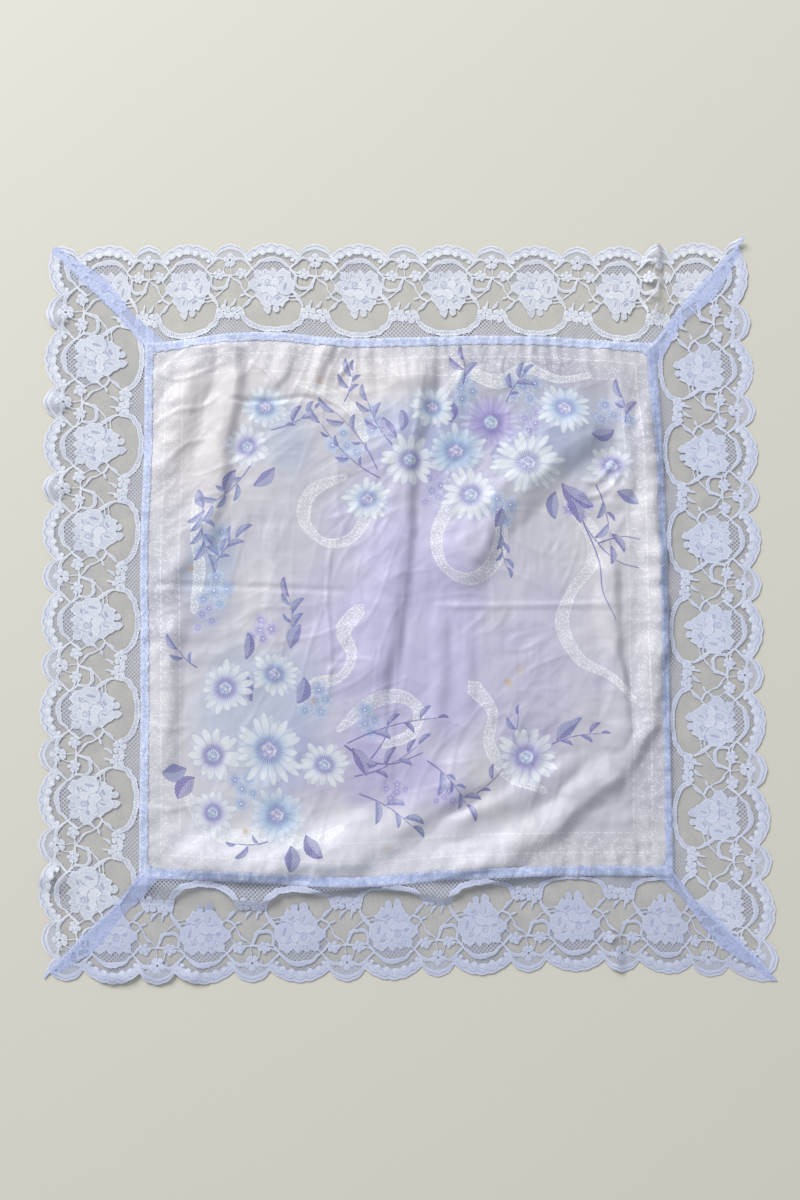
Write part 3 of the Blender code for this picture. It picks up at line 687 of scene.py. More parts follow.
def draw_rose(tile):
    """The rose: its petals from back to front, each with a pale rim and painted shadow behind, its thin
    places and creases.
    """
    for outline in PRONGS:
        inside = tile.within(outline)
        tile.add(inside, np.where(inside < 0.6, 0.8, 0.45), height=0.4)
    for tone, outline in PETALS:
        ruffle = 0.35 * np.sin(tile.drawn_s * 2.1 + 1.3 * np.sin(tile.drawn_t * 1.7))
        inside = tile.within(outline) + ruffle * (tile.solid < 0)
        # Painted shadow: a dark band on the petals behind, just outside this petal's edge
        painted_shadow = (inside <= 0) & (inside > -0.8) & (tile.solid > 0)
        tile.press(painted_shadow, tile.tone - 0.5)
        blade = tone - 0.16 - 0.12 * np.clip(inside / 4, 0, 1)
        height = np.where(inside < 0.9, 1.1, 0.6) * np.clip(inside / 0.5, 0.3, 1)
        tile.press(inside > 0, np.where(inside < 0.7, tone + 0.16, blade), height)
        tile.solid = np.maximum(tile.solid, inside)
    for eye in EYES:
        thin = tile.oval(*eye)
        tile.press((thin > -0.6) & ((thin > 0) | (tile.solid > 0)), 1.0)
        tile.press(thin > 0, -0.22, 0.1)
    for half, points in CREASES_DARK:
        tile.press(abs(tile.near_path(points, 0)[0]) < half, -0.55, 0.1)


def net_density(tile, rope):
    """How much the net covers: an even part, and a part drawn as a lattice."""
    edge, t, from_rose = tile.edge, tile.t, abs(tile.from_rose)
    from_fan = HALF_REPEAT - from_rose
    wide = from_rose < WIDE_SPAN / 2
    under_arch = (np.hypot(from_rose / 25, (t - 60) / 26) < 1) & (t > 58)
    beside_rose = (from_rose > 15) & (from_rose < 25) & (t > 52) & (t < 74)
    # Where no place below is listed, as in the windows, the even part is partly fine net and partly painted
    # shade
    even = np.full(t.shape, 0.24)
    lattice = np.full(t.shape, 0.10)
    # Places, how much the net covers there evenly, and how strong its lattice is
    for there, share, lines in (
        ((rope < 0) & (t < 34) & (from_fan < 31), 0.20, 0.95),
        (wide & (edge < 14), 0.28, 0.7),
        (under_arch, 0.32, 0.95),
        (beside_rose, 0.26, 0.8),
        (wide & (edge < 9.6), 0.92, 0.3),
        (~wide & (edge < 9.5), 0.62, 0.5),
        ((edge < 17) & (t > 82) & (from_fan < 9), 0.70, 0.3),
        (edge < 5.4, 0.92, 0),
        (t < HEADING_TOP, 0.9, 0),
    ):
        even = np.where(there, share, even)
        lattice = np.where(there, lines, lattice)
    return even, lattice


def draw_tile(cell):
    """One whole repeat of the lace and of its net."""
    tile = Tile(cell)
    rope = draw_rope(tile)
    draw_edge(tile)
    for widths, points in FAN_CORDS.values():
        tile.cord(widths, points, HALF_REPEAT)
    for flower in FLOWERS:
        draw_flower(tile, *flower)
    draw_rose(tile)
    for widths, points in ROSE_CORDS.values():
        tile.cord(widths, points, 0)
    draw_heading(tile)
    tile.solid = np.minimum(tile.solid, tile.edge)
    tile.even, tile.lattice = net_density(tile, rope)
    return tile


class CutGrid:
    """The part of a grid where a field is over zero, cut cleanly along its edge (marching squares)."""

    def __init__(self, inside):
        on = inside > 0
        self.nodes = np.argwhere(on)
        node = np.full(inside.shape, -1)
        node[on] = np.arange(len(self.nodes))
        self.count = len(self.nodes)
        self.crossings = []
        across = self._cut(inside, on, (0, 1))
        up = self._cut(inside, on, (1, 0))
        corners = (
            node[:-1, :-1], across[:-1], node[:-1, 1:], up[:, 1:],
            node[1:, 1:], across[1:], node[1:, :-1], up[:, :-1],
        )
        table = np.stack([part.ravel() for part in corners], axis=1)
        table = table[(table >= 0).sum(1) > 2]
        self.faces = [[i for i in row if i >= 0] for row in table.tolist()]

    def _cut(self, inside, on, step):
        """Numbers of the new points on the grid's lines one way, and -1 where there is none."""
        rows, cols = inside.shape
        a = inside[: rows - step[0], : cols - step[1]]
        b = inside[step[0] :, step[1] :]
        cut = on[: rows - step[0], : cols - step[1]] != on[step[0] :, step[1] :]
        number = np.full(a.shape, -1)
        number[cut] = self.count + np.arange(cut.sum())
        self.count += int(cut.sum())
        share = np.clip(a[cut] / (a[cut] - b[cut]), 0.02, 0.98)
        self.crossings.append((np.argwhere(cut), share, step))
        return number

    def at(self, grid):
        """A grid's values at the cut mesh's points."""
        values = [grid[self.nodes[:, 0], self.nodes[:, 1]]]
        for places, share, step in self.crossings:
            a = grid[places[:, 0], places[:, 1]]
            b = grid[places[:, 0] + step[0], places[:, 1] + step[1]]
            values.append(a + share * (b - a))
        return np.concatenate(values)


def rose_places(roses):
    """The roses' numbers and places along the strip, with two more past each end."""
    places = [roses[0] - 2 * REPEAT, roses[0] - REPEAT, *roses, roses[-1] + REPEAT, roses[-1] + 2 * REPEAT]
    return np.arange(len(places)) - 2, np.array(places, float)


def tucked(x, t):
    """Where the bottom lace lies, the way across it, with its tuck, and the tuck's own height."""
    inner = np.interp(x, TUCK_PLACES, TUCK_HEIGHTS)
    seam = smooth_at(STATIONS, np.array(LINES_ACROSS[3][1], float), x)
    tip = smooth_at(STATIONS, np.array(LINES_ACROSS[0][1], float), x)
    outer_laid = tip + LACE_WIDTH - inner - TUCK_CLOTH
    inner_laid = np.maximum(seam - inner, outer_laid + TUCK_ROOM)
    beyond = outer_laid - (t - inner - TUCK_CLOTH)
    within = inner_laid + (outer_laid - inner_laid) * (t - inner) / TUCK_CLOTH
    before = seam + (inner_laid - seam) * t / np.maximum(inner, 0.1)
    y = np.where(t > inner + TUCK_CLOTH, beyond, np.where(t > inner, within, before))
    back = np.clip((inner - t) / TUCK_SPREAD, 0, 1)
    bump = np.where(t < inner, 0.5 + 0.5 * np.cos(np.pi * back), np.clip(1 - (t - inner) / TUCK_CLOTH, 0, 1))
    start, end = TUCK_ENDS
    fade = smooth_step((x - start) / TUCK_FADES[0]) * smooth_step((end - x) / TUCK_FADES[1])
    return y, TUCK_RISE * bump * fade


def lay_strip(quarters, s, t):
    """Places of strip points on the floor, and the folds' height there."""
    turn = quarters * math.pi / 2
    out = HALF_SEEN + t
    x = s * math.cos(turn) - out * math.sin(turn)
    y = s * math.sin(turn) + out * math.cos(turn)
    laid_x, laid_y = laid(x, y)
    extra = 0.0
    if quarters == 2:
        laid_y, extra = tucked(x, t)
    on_satin = smooth_step((SEAM_REACH - t) / SEAM_FADE)
    z = fold_height(laid_x, laid_y, LACE_SLACK + (1 - LACE_SLACK) * on_satin) + extra
    z = np.maximum(z + on_satin * crumple_height(x, y), 0) + heading_height(t)
    return laid_x, laid_y, z


def mesh_piece(name, points, faces, material, attributes):
    """A smooth mesh from points in mm. Its attributes have a value for each point, corner or face."""
    mesh = bpy.data.meshes.new(name)
    x, y, z = points
    places = np.stack((x - MIDDLE[0], y - MIDDLE[1], z), axis=1) * MM
    mesh.from_pydata(places, [], faces)
    mesh.shade_smooth()
    for title, values in attributes.items():
        kind, field = ("FLOAT", "value") if values.ndim == 1 else ("FLOAT_VECTOR", "vector")
        domains = {len(mesh.vertices): "POINT", len(mesh.loops): "CORNER", len(mesh.polygons): "FACE"}
        attribute = mesh.attributes.new(title, kind, domains[len(values)])
        attribute.data.foreach_set(field, values.astype(np.float32).ravel())
    mesh.materials.append(material)
    piece = bpy.data.objects.new(name, mesh)
    bpy.context.scene.collection.objects.link(piece)
    return piece


def sampled(grid, column, row):
    """A tile's values at places between its points, the columns going round."""
    rows, cols = grid.shape
    row = np.clip(row, 0, rows - 1.001)
    i, j = np.floor(row).astype(int), np.floor(column).astype(int)
    u, v = column - j, row - i
    left, right = j % cols, (j + 1) % cols
    low = grid[i, left] * (1 - u) + grid[i, right] * u
    high = grid[i + 1, left] * (1 - u) + grid[i + 1, right] * u
    return low * (1 - v) + high * v


class Strip:
    """A strip's grid: the tile's columns along it, the way to its mitres, and its folded seam allowances."""

    def __init__(self, tile, flaps, roses):
        self.tile = tile
        self.numbers, self.places = rose_places(roses)
        first, last = self.numbers[0] * tile.per_repeat, self.numbers[-1] * tile.per_repeat
        columns = np.arange(first, last + 1)
        along = np.interp(columns / tile.per_repeat, self.numbers, self.places)
        keep = abs(along) < HALF_SEEN + LACE_WIDTH + tile.cell
        self.columns = columns[keep] % tile.per_repeat
        self.s, self.t = np.meshgrid(along[keep], tile.heights)
        self.pattern_s = np.meshgrid(columns[keep] / tile.per_repeat * REPEAT, tile.heights)[0]
        self.to_mitre = HALF_SEEN + self.t - abs(self.s)
        self.seam = self.to_mitre / math.sqrt(2)
        taper = FLAP_TAPER * smooth_step((self.t - TAPER_START) / TAPER_LENGTH)
        self.in_flap = FLAP_WIDTH + FLAP_WAVE * np.sin(self.t / 9) - taper - self.seam
        at_end = np.isin(np.sign(self.s), flaps)
        self.flap = np.where(at_end, np.clip(self.in_flap / FLAP_EDGE, 0, 1), 0.0)
        self.doubled = np.maximum(self.flap, np.clip(SEAM_TINT - self.seam, 0, 1))

    def along(self, grid):
        """The tile's values along the strip."""
        return grid[:, self.columns]

    def folded(self, grid):
        """The tile's values of the cloth past the mitre, folded back under the strip."""
        beyond_s, beyond_t = np.sign(self.s) * (HALF_SEEN + self.t), abs(self.s) - HALF_SEEN
        column = np.interp(beyond_s, self.places, self.numbers) * self.tile.per_repeat
        return sampled(grid, column, (beyond_t - self.tile.heights[0]) / self.tile.cell)


def net_layer(strip):
    """Where a strip's net is, its height, and what its material reads."""
    tile = strip.tile
    field = np.minimum(np.minimum(strip.along(tile.edge), strip.to_mitre), strip.t - NET_START)
    cover = (strip.along(tile.even), strip.along(tile.lattice), strip.doubled)
    return field, np.full(field.shape, NET_LIFT), {"cover": cover}


def pattern_layer(strip):
    """Where a strip's cords, flowers and roses are, their height, and what their material reads."""
    tile = strip.tile
    over = strip.along(tile.solid)
    under = np.where(strip.flap > 0, np.minimum(strip.folded(tile.solid), strip.in_flap), FAR_OUT)
    cord = SEAM_CORD + 0.25 * np.sin(strip.t * TWIST) - abs(strip.seam - SEAM_CORD_PLACE)
    solid = np.maximum(np.maximum(over, under), cord)
    field = np.minimum(np.minimum(solid, strip.to_mitre), strip.along(tile.edge))
    lift = np.maximum(strip.along(tile.lift), 0.7 * strip.folded(tile.lift) * strip.flap)
    lift = np.where(cord > 0, 1.2, lift)
    tone = np.where(cord > 0, 0.7 + 0.4 * np.sin(strip.t * TWIST), strip.along(tile.tone))
    tone = np.where(under > over, strip.folded(tile.tone) - 0.1, tone)
    return field, PATTERN_LIFT + RELIEF * lift, {"tone": (tone,), "mitre": (strip.doubled,)}


def strip_piece(name, quarters, strip, layer, material):
    """One layer of a strip, cut out and laid."""
    field, height, shown = layer(strip)
    cut = CutGrid(field)
    s, t = cut.at(strip.s), cut.at(strip.t)
    x, y, z = lay_strip(quarters, s, t)
    attributes = {"place": np.stack((cut.at(strip.pattern_s), t, np.zeros(len(t))), axis=1)}
    for title, grids in shown.items():
        attributes[title] = np.squeeze(np.stack([cut.at(grid) for grid in grids], axis=1))
    return mesh_piece(name, (x, y, z + cut.at(height)), cut.faces, material, attributes)


# The print, in flat millimetres. Daisies from the back to the front: middle, radius, petals, how violet they
# are, and how far out from the middle their colour reaches.
DAISIES = (
    (-188, -198, 25, 14, 0.85, 0.7), (-176, -84, 30, 15, 0.7, 0.7), (-128, -70, 28, 16, 0.2, 0.7),
    (-188, -146, 30, 14, 0.9, 0.6), (-126, -198, 31, 16, 0.05, 1.0), (-80, -150, 29, 15, 0.7, 0.6),
    (-134, -140, 38, 18, 0.1, 0.7), (30, 188, 26, 15, 0.1, 0.7), (206, 132, 28, 14, 0.9, 0.7),
    (162, 186, 31, 17, 0.1, 0.8), (-36, 100, 27, 15, 0.1, 0.7), (88, 172, 33, 22, 1.0, 1.35),
    (6, 136, 31, 15, 0.8, 0.6), (52, 144, 34, 17, 0.0, 1.0), (66, 100, 31, 16, 0.8, 0.6),
    (122, 130, 39, 19, 0.3, 0.4), (-138, 184, 28, 15, 0.1, 0.8), (-156, 146, 26, 14, 0.8, 0.7),
    (116, -150, 34, 16, 0.9, 0.75),
)
# Small blossoms: the middle of a group of them, how many, their radius and how violet
POSIES = (
    (-56, 152, 5, 8, 0.1), (-34, 176, 4, 7, 0.2), (60, 206, 4, 8, 0.1), (122, 208, 6, 8, 0.1),
    (212, 184, 5, 8, 0.2), (92, 84, 5, 8, 0.1), (172, 92, 5, 7, 0.9), (-192, 58, 4, 8, 0.05),
    (-186, 8, 5, 9, 0.05), (28, 106, 5, 7, 0.7), (-88, -92, 6, 8, 0.05), (-40, -112, 4, 8, 0.15),
    (-10, -176, 6, 6, 0.9), (36, -184, 5, 6, 0.95), (-198, -14, 4, 7, 0.7), (-142, -30, 5, 7, 0.8),
    (-160, -176, 5, 8, 0.1), (132, 170, 4, 7, 0.9),
)
# Sprigs of small leaves: foot, way in degrees, length, pairs of leaves and how violet
SPRIGS = (
    (-24, 120, 152, 78, 2, 0.85), (-26, 128, 112, 70, 2, 0.8), (-150, 130, 238, 62, 3, 0.7),
    (-132, 162, 14, 50, 2, 0.9), (190, 112, -64, 60, 2, 0.9), (62, 210, 70, 24, 1, 0.9),
    (-10, 150, 132, 52, 2, 0.95), (-196, 96, 260, 52, 3, 0.7), (-186, 30, 66, 34, 2, 0.8),
    (-112, -40, 76, 42, 2, 0.8), (-58, -130, 26, 90, 2, 0.95), (-50, -160, 8, 66, 2, 0.95),
    (-46, -176, -18, 60, 2, 0.8), (60, -186, 24, 44, 1, 0.9), (134, -142, 28, 56, 2, 0.9),
    (96, 74, 262, 44, 2, 0.8), (-134, -222, 200, 30, 1, 0.8), (98, -146, 58, 36, 1, 0.8),
    (104, 190, 70, 36, 2, 0.9), (222, 176, 76, 24, 1, 0.9), (-204, -64, 150, 24, 1, 0.8),
    (-58, 196, 58, 32, 2, 0.8), (20, -150, -34, 56, 3, 0.9),
)
SPRIG_LEAF = 17.0
SPRIG_BEND = 14
STROKE_POINTS = (0, 0.25, 0.5, 0.75, 1)
# Large leaves: foot, way in degrees, length, half width and how violet
LEAVES = (
    (156, 112, -34, 38, 8, 0.95), (160, 104, -66, 34, 7, 0.9), (150, 104, -92, 28, 6, 0.8),
    (210, 106, -28, 24, 6, 0.7), (186, 160, 18, 26, 6, 0.8), (-6, 158, 122, 26, 6, 0.95),
    (-2, 164, 88, 22, 5, 0.8), (-128, 126, 222, 28, 6, 0.8), (-166, 124, 248, 26, 5, 0.8),
    (-214, -158, 190, 24, 8, 0.6), (-206, -166, 232, 26, 8, 0.95), (-112, -224, 268, 24, 7, 0.8),
    (-98, -214, 312, 26, 7, 0.9), (-150, -96, 108, 30, 8, 0.95), (-106, -96, 74, 26, 7, 0.8),
    (-54, -134, 300, 30, 6, 0.95), (-52, -140, 338, 26, 5, 0.9), (-112, -46, 66, 26, 6, 0.6),
    (-156, -58, 84, 26, 5, 0.9), (146, -136, 40, 28, 6, 0.8), (48, 172, 96, 24, 6, 0.95),
    (-196, 88, 108, 20, 5, 0.6), (90, 128, 84, 22, 7, 0.9), (96, 86, 250, 20, 5, 0.9),
)
# Bare stems: half width, how violet, and points
STEMS = (
    (0.9, 0.7, ((168, 100), (178, 72), (196, 48), (212, 36), (230, 32))),
    (0.8, 0.8, ((176, 76), (190, 40), (194, 6), (206, -20))),
    (0.8, 0.8, ((190, 54), (214, 62), (232, 60))),
    (1.0, 0.9, ((-60, -132), (-38, -146), (-12, -150), (16, -142))),
    (0.8, 0.9, ((-36, -146), (-22, -128), (-18, -112))),
)
# Ribbons of silvery speckles: half widths and points
RIBBONS = (
    ((3, 6, 7, 4, 5, 6, 3), (
        (-58, 122), (-90, 106), (-98, 78), (-78, 58), (-52, 62), (-36, 84), (-24, 110),
    )),
    ((3, 6, 8, 6, 4, 6, 7, 4), (
        (88, 96), (96, 62), (86, 32), (64, 18), (40, 30), (32, 58), (44, 88), (60, 104),
    )),
    ((3, 8, 6, 5, 7, 6, 4, 3), (
        (160, 92), (184, 66), (184, 34), (164, 6), (154, -26), (170, -58), (200, -74), (222, -96),
    )),
    ((7, 8, 5, 4, 7, 3), ((-44, -6), (-60, -26), (-52, -48), (-62, -68), (-88, -78), (-104, -96))),
    ((3, 7, 7, 5, 6, 4), ((-66, -118), (-36, -94), (-8, -88), (12, -102), (4, -124), (-22, -132))),
    ((8, 5, 6, 7, 3), ((66, -84), (84, -108), (80, -136), (98, -164), (134, -182))),
    ((3, 6, 7, 6, 4, 3), ((40, 198), (64, 222), (98, 212), (126, 226), (158, 216), (190, 222))),
    ((3, 6, 6, 4), ((-104, 210), (-76, 204), (-50, 188), (-38, 158))),
    ((4, 7, 8, 6, 5, 3), (
        (-214, -180), (-196, -208), (-164, -220), (-130, -212), (-98, -222), (-62, -206),
    )),
    ((3, 5, 6, 4), ((-206, 96), (-204, 60), (-200, 30), (-206, -10))),
)
LEAF_SHAPE = ((0.02, 0), (0.5, 0.16), (0.9, 0.35), (1.0, 0.5), (0.8, 0.72), (0.4, 0.9), (0.02, 1))
LEAF_BEND = 0.10
LEAF_FULLNESS = 1.2
STROKE_REACH = 2.6
NOWHERE = 1e4


def leaf_stroke(x, y, way, length, half, violet, bend):
    """One bent leaf: its points, its half widths along it, and how violet it is."""
    c, n = math.cos(math.radians(way)), math.sin(math.radians(way))
    places = ((f * length, bend * length * math.sin(math.pi * f)) for f in STROKE_POINTS)
    points = [(x + u * c - v * n, y + u * n + v * c) for u, v in places]
    return points, np.array(LEAF_SHAPE) * (LEAF_FULLNESS * half, 1), violet


def stem_stroke(half, violet, points):
    """One stem, thinner towards its tip."""
    return points, np.array(((half * 1.3, 0), (half, 0.4), (half * 0.7, 1))), violet


def polar(x, y, way, length):
    """The point at a length and way, in degrees, from another."""
    turned = math.radians(way)
    return x + length * math.cos(turned), y + length * math.sin(turned)


def sprig_strokes(index, x, y, way, length, pairs, violet):
    """A bent stem with pairs of small leaves and one at its tip."""
    bend = SPRIG_BEND if index % 2 else -SPRIG_BEND
    yield stem_stroke(0.7, violet, [polar(x, y, way + bend * f, f * length) for f in STROKE_POINTS])
    for leaf in range(2 * pairs + 1):
        f = 0.28 + 0.72 * leaf / (2 * pairs)
        foot = polar(x, y, way + bend * f, f * length)
        aside = 0 if leaf == 2 * pairs else (1 if leaf % 2 else -1) * (20 + 34 * hashed(index, leaf, 2))
        size = SPRIG_LEAF * (0.6 + 0.8 * hashed(index, leaf, 3))
        hue = violet - 0.35 * hashed(index, leaf, 4)
        yield leaf_stroke(*foot, way + bend * (1 + f) + aside, size, size * 0.15, hue, 0.16)


def leaf_strokes():
    """The leaves and stems as strokes: points, half widths along them, and how violet."""
    for index, leaf in enumerate(LEAVES):
        yield leaf_stroke(*leaf, LEAF_BEND if index % 2 else -LEAF_BEND)
    for stem in STEMS:
        yield stem_stroke(*stem)
    for index, sprig in enumerate(SPRIGS):
        yield from sprig_strokes(index, *sprig)


def ribbon_strokes():
    """The ribbons as strokes, with no violet in them."""
    for halves, points in RIBBONS:
        yield points, np.stack((halves, np.linspace(0, 1, len(halves))), axis=1), 0.0


def from_stroke(x, y, path, shape):
    """Distance from a stroke's middle, how far past its ends, its half width, the run and its length."""
    distance, run, length = along_path(x, y, path, True)
    past = np.maximum(np.maximum(-run, run - length), 0)
    return distance, past, np.interp(run / length, shape[:, 1], shape[:, 0]), run, length


def stroke_layer(x, y, faces, strokes):
    """For the corners of every face, the distance from the stroke that it shows, that stroke's half width
    and the run along it, and for every face the stroke's colour, its number and its length."""
    corners_x, corners_y = x[faces], y[faces]
    middle_x, middle_y = corners_x.mean(1), corners_y.mean(1)
    reached = np.full(len(faces), STROKE_REACH)
    corners = np.tile((NOWHERE, 0.0, 0.0), (len(faces), 4, 1))
    kinds = np.zeros((len(faces), 3))
    for number, (points, shape, violet) in enumerate(strokes):
        path = smooth_path(points, CREST_STEPS)
        close = np.flatnonzero(near(middle_x, middle_y, path, shape[:, 0].max() + STROKE_REACH))
        distance, past, half, *_ = from_stroke(middle_x[close], middle_y[close], path, shape)
        outside = np.maximum(abs(distance), past) - half
        nearer = outside < reached[close]
        mine = close[nearer]
        reached[mine] = outside[nearer]
        distance, past, half, run, length = from_stroke(corners_x[mine], corners_y[mine], path, shape)
        corners[mine] = np.stack((distance, half - past, run), axis=2)
        kinds[mine] = (violet, number, length)
    return corners.reshape(-1, 3), kinds


def posy_layer(x, y, faces):
    """For every face the small blossom that it shows: middle and radius, and its turn and hue."""
    middle_x, middle_y = x[faces].mean(1), y[faces].mean(1)
    nearest = np.full(len(faces), 1.3)
    places = np.tile((NOWHERE, NOWHERE, 1.0), (len(faces), 1))
    kinds = np.zeros((len(faces), 3))
    for x_middle, y_middle, count, radius, violet in POSIES:
        for k in range(count):
            away = 1.45 * radius * min(k, 1) * (0.8 + 0.5 * hashed(k, x_middle, 7))
            turned = 1.3 * k + x_middle
            bx, by = x_middle + away * math.cos(turned), y_middle + away * math.sin(turned)
            size = radius * (0.8 + 0.35 * hashed(k, x_middle, 5))
            share = np.hypot(middle_x - bx, middle_y - by) / size
            mine = share < nearest
            nearest[mine] = share[mine]
            places[mine] = (bx, by, size)
            kinds[mine] = (turned, violet + 0.25 * hashed(k, y_middle, 6), 0)
    return places, kinds


def bloom_layers(x, y, faces):
    """For every face of every layer the bloom that it shows: middle and radius, and petals, hue and reach."""
    levels = []
    for index, (bx, by, radius, *_) in enumerate(DAISIES):
        below = [
            levels[k] for k, (ox, oy, other, *_) in enumerate(DAISIES[:index])
            if math.hypot(bx - ox, by - oy) < radius + other + 2 * SATIN_CELL
        ]
        levels.append(1 + max(below, default=-1))
    middle_x, middle_y = x[faces].mean(1), y[faces].mean(1)
    layers = []
    for level in range(max(levels) + 1):
        places = np.tile((NOWHERE, NOWHERE, 1.0), (len(faces), 1))
        kinds = np.tile((5.0, 0.0, 0.0), (len(faces), 1))
        for index, (bx, by, radius, petals, violet, reach) in enumerate(DAISIES):
            if levels[index] == level:
                mine = np.hypot(middle_x - bx, middle_y - by) < radius + SATIN_CELL
                places[mine] = (bx, by, radius)
                kinds[mine] = (petals + (index * 0.37) % 1 * 0.9, violet, reach)
        layers.append((places, kinds))
    return layers


class Num:
    """A number that a material works out, node by node. Methods add a node and return its result."""

    def __init__(self, tree, socket):
        self.tree = tree
        self.socket = socket

    def math(self, operation, *others):
        node = self.tree.nodes.new("ShaderNodeMath")
        node.operation = operation
        for slot, value in zip(node.inputs, (self, *others)):
            if isinstance(value, Num):
                self.tree.links.new(value.socket, slot)
            else:
                slot.default_value = value
        return Num(self.tree, node.outputs[0])

    def __add__(self, other):
        return self.math("ADD", other)

    __radd__ = __add__

    def __sub__(self, other):
        return self.math("SUBTRACT", other)

    def __rsub__(self, other):
        return self.math("MULTIPLY", -1.0).math("ADD", other)

    def __mul__(self, other):
        return self.math("MULTIPLY", other)

    __rmul__ = __mul__

    def __truediv__(self, other):
        return self.math("DIVIDE", other)

    def __abs__(self):
        return self.math("ABSOLUTE")

    def fraction(self):
        return self.math("FRACT")

    def least(self, other):
        return self.math("MINIMUM", other)

    def most(self, other):
        return self.math("MAXIMUM", other)

    def clamped(self):
        return self.math("MAXIMUM", 0.0).math("MINIMUM", 1.0)

    def step(self, low, high):
        """Rises smoothly from 0 at low to 1 at high."""
        node = self.tree.nodes.new("ShaderNodeMapRange")
        node.interpolation_type = "SMOOTHSTEP"
        for slot, value in zip(node.inputs, (self, low, high)):
            if isinstance(value, Num):
                self.tree.links.new(value.socket, slot)
            else:
                slot.default_value = value
        return Num(self.tree, node.outputs[0])


def srgb(red, green, blue_and_shade):
    """A colour seen in the photograph as the shader's linear one."""
    def one(value):
        value /= 255
        return value / 12.92 if value <= 0.04045 else ((value + 0.055) / 1.055) ** 2.4

    return (one(red), one(green), one(blue_and_shade), 1)


class Finish:
    """A material under construction."""

    def __init__(self, name, roughness, sheen=0.0, specular=0.5):
        self.material = bpy.data.materials.new(name)
        self.material.use_nodes = True
        self.tree = self.material.node_tree
        self.shader = self.tree.nodes["Principled BSDF"]
        self.shader.inputs["Roughness"].default_value = roughness
        self.shader.inputs["Sheen Weight"].default_value = sheen
        self.shader.inputs["Specular IOR Level"].default_value = specular

    def node(self, kind, **inputs):
        node = self.tree.nodes.new(kind)
        for title, value in inputs.items():
            self.link(value, node.inputs[title.replace("_", " ")])
        return node

    def link(self, value, slot):
        if isinstance(value, Num):
            self.tree.links.new(value.socket, slot)
        elif isinstance(value, bpy.types.NodeSocket):
            self.tree.links.new(value, slot)
        else:
            slot.default_value = value

    def attribute(self, title):
        node = self.tree.nodes.new("ShaderNodeAttribute")
        node.attribute_name = title
        return node

    def parts(self, vector):
        """The X, Y and Z of a vector socket."""
        split = self.node("ShaderNodeSeparateXYZ", Vector=vector)
        return [Num(self.tree, output) for output in split.outputs]

    def vector(self, x, y, z=0.0):
        return self.node("ShaderNodeCombineXYZ", X=x, Y=y, Z=z).outputs[0]

    def chance(self, vector):
        """Two random numbers that stand for a vector."""
        node = self.node("ShaderNodeTexWhiteNoise", Vector=vector)
        split = self.node("ShaderNodeSeparateColor", Color=node.outputs["Color"])
        return Num(self.tree, split.outputs[0]), Num(self.tree, split.outputs[1])

    def noise(self, vector, scale, detail=2.0):
        node = self.node("ShaderNodeTexNoise", Vector=vector, Scale=scale, Detail=detail)
        return Num(self.tree, node.outputs["Fac"])

    def mix(self, factor, a, b):
        node = self.tree.nodes.new("ShaderNodeMix")
        node.data_type = "RGBA"
        self.link(factor, node.inputs["Factor"])
        self.link(a, node.inputs[6])
        self.link(b, node.inputs[7])
        return node.outputs[2]

    def bump(self, height, distance, strength=1.0):
        node = self.node("ShaderNodeBump", Height=height, Distance=distance, Strength=strength)
        self.tree.links.new(node.outputs[0], self.shader.inputs["Normal"])

    def colour(self, value):
        self.link(value, self.shader.inputs["Base Color"])


THREAD_LIGHT = srgb(240, 244, 252)
THREAD_DARK = srgb(158, 166, 196)
HEADING_PALE = srgb(230, 236, 251)
HEADING_BLUE = srgb(176, 192, 240)
HEADING_DEEP = srgb(146, 162, 206)
# The sparse net's dark colour: partly its own grey, partly painted shade
NET_DARK_AND_SHADE = srgb(146, 148, 172)
NET_PALE = srgb(222, 226, 240)
DOUBLED_BLUE = srgb(200, 213, 254)
DOUBLED_DEEP = srgb(156, 175, 232)
# The colour of the painted shade on the lace
LACE_PAINTED_SHADE = srgb(138, 150, 196)
NET_PITCH = 4.0


def thread_finish(name, shade, blue_and_shade):
    """Twisted cotton of the cords and flowers. Shade says how far painted shade greys it; the next number
    makes it bluer and darkens its heading, partly as painted shade.
    """
    finish = Finish(f"{name}_thread", 0.8, 0.15, 0.2)
    place = finish.attribute("place").outputs["Vector"]
    _, t, _ = finish.parts(place)
    tone = Num(finish.tree, finish.attribute("tone").outputs["Fac"])
    mitre = Num(finish.tree, finish.attribute("mitre").outputs["Fac"])
    grain = finish.noise(place, 0.55, 3)
    cloud = finish.noise(place, 0.05, 2)
    speckle = finish.noise(place, 0.42, 2) - 0.5
    patch = finish.noise(place, 0.11, 2)
    # The tone holds the lace's own tones and also the painted shadows round the beads and behind the petals;
    # the noise varies it at random
    tone_with_painted_shade = tone * 0.56 + 0.42 + (grain - 0.5) * 0.8 + (cloud - 0.5) * 0.4
    colour = finish.mix(tone_with_painted_shade.clamped(), THREAD_DARK, THREAD_LIGHT)
    doubled = finish.mix((speckle * 2.4 + patch - 0.1 + blue_and_shade * 0.3).clamped(), DOUBLED_BLUE, DOUBLED_DEEP)
    colour = finish.mix(mitre * (0.62 + speckle * 1.2).clamped(), colour, doubled)
    # Painted shade: the thread is greyed as far as its strip's shade number says, most on the bottom strip
    colour = finish.mix(shade, finish.mix(blue_and_shade * 0.5, colour, DOUBLED_BLUE), LACE_PAINTED_SHADE)
    band = finish.mix((tone * 0.4 + 0.28 + speckle * 2.4).clamped(), HEADING_BLUE, HEADING_PALE)
    # Painted shade: the heading is darkened towards a deep blue, partly as mottling and partly as shade on
    # the bottom and right strips
    band = finish.mix(((patch - 0.5) * 1.6 + blue_and_shade).clamped(), band, HEADING_DEEP)
    finish.colour(finish.mix(t.step(HEADING_TOP + 0.6, HEADING_TOP - 0.2), colour, band))
    finish.bump(grain, 0.0003, 0.5)
    return finish.material


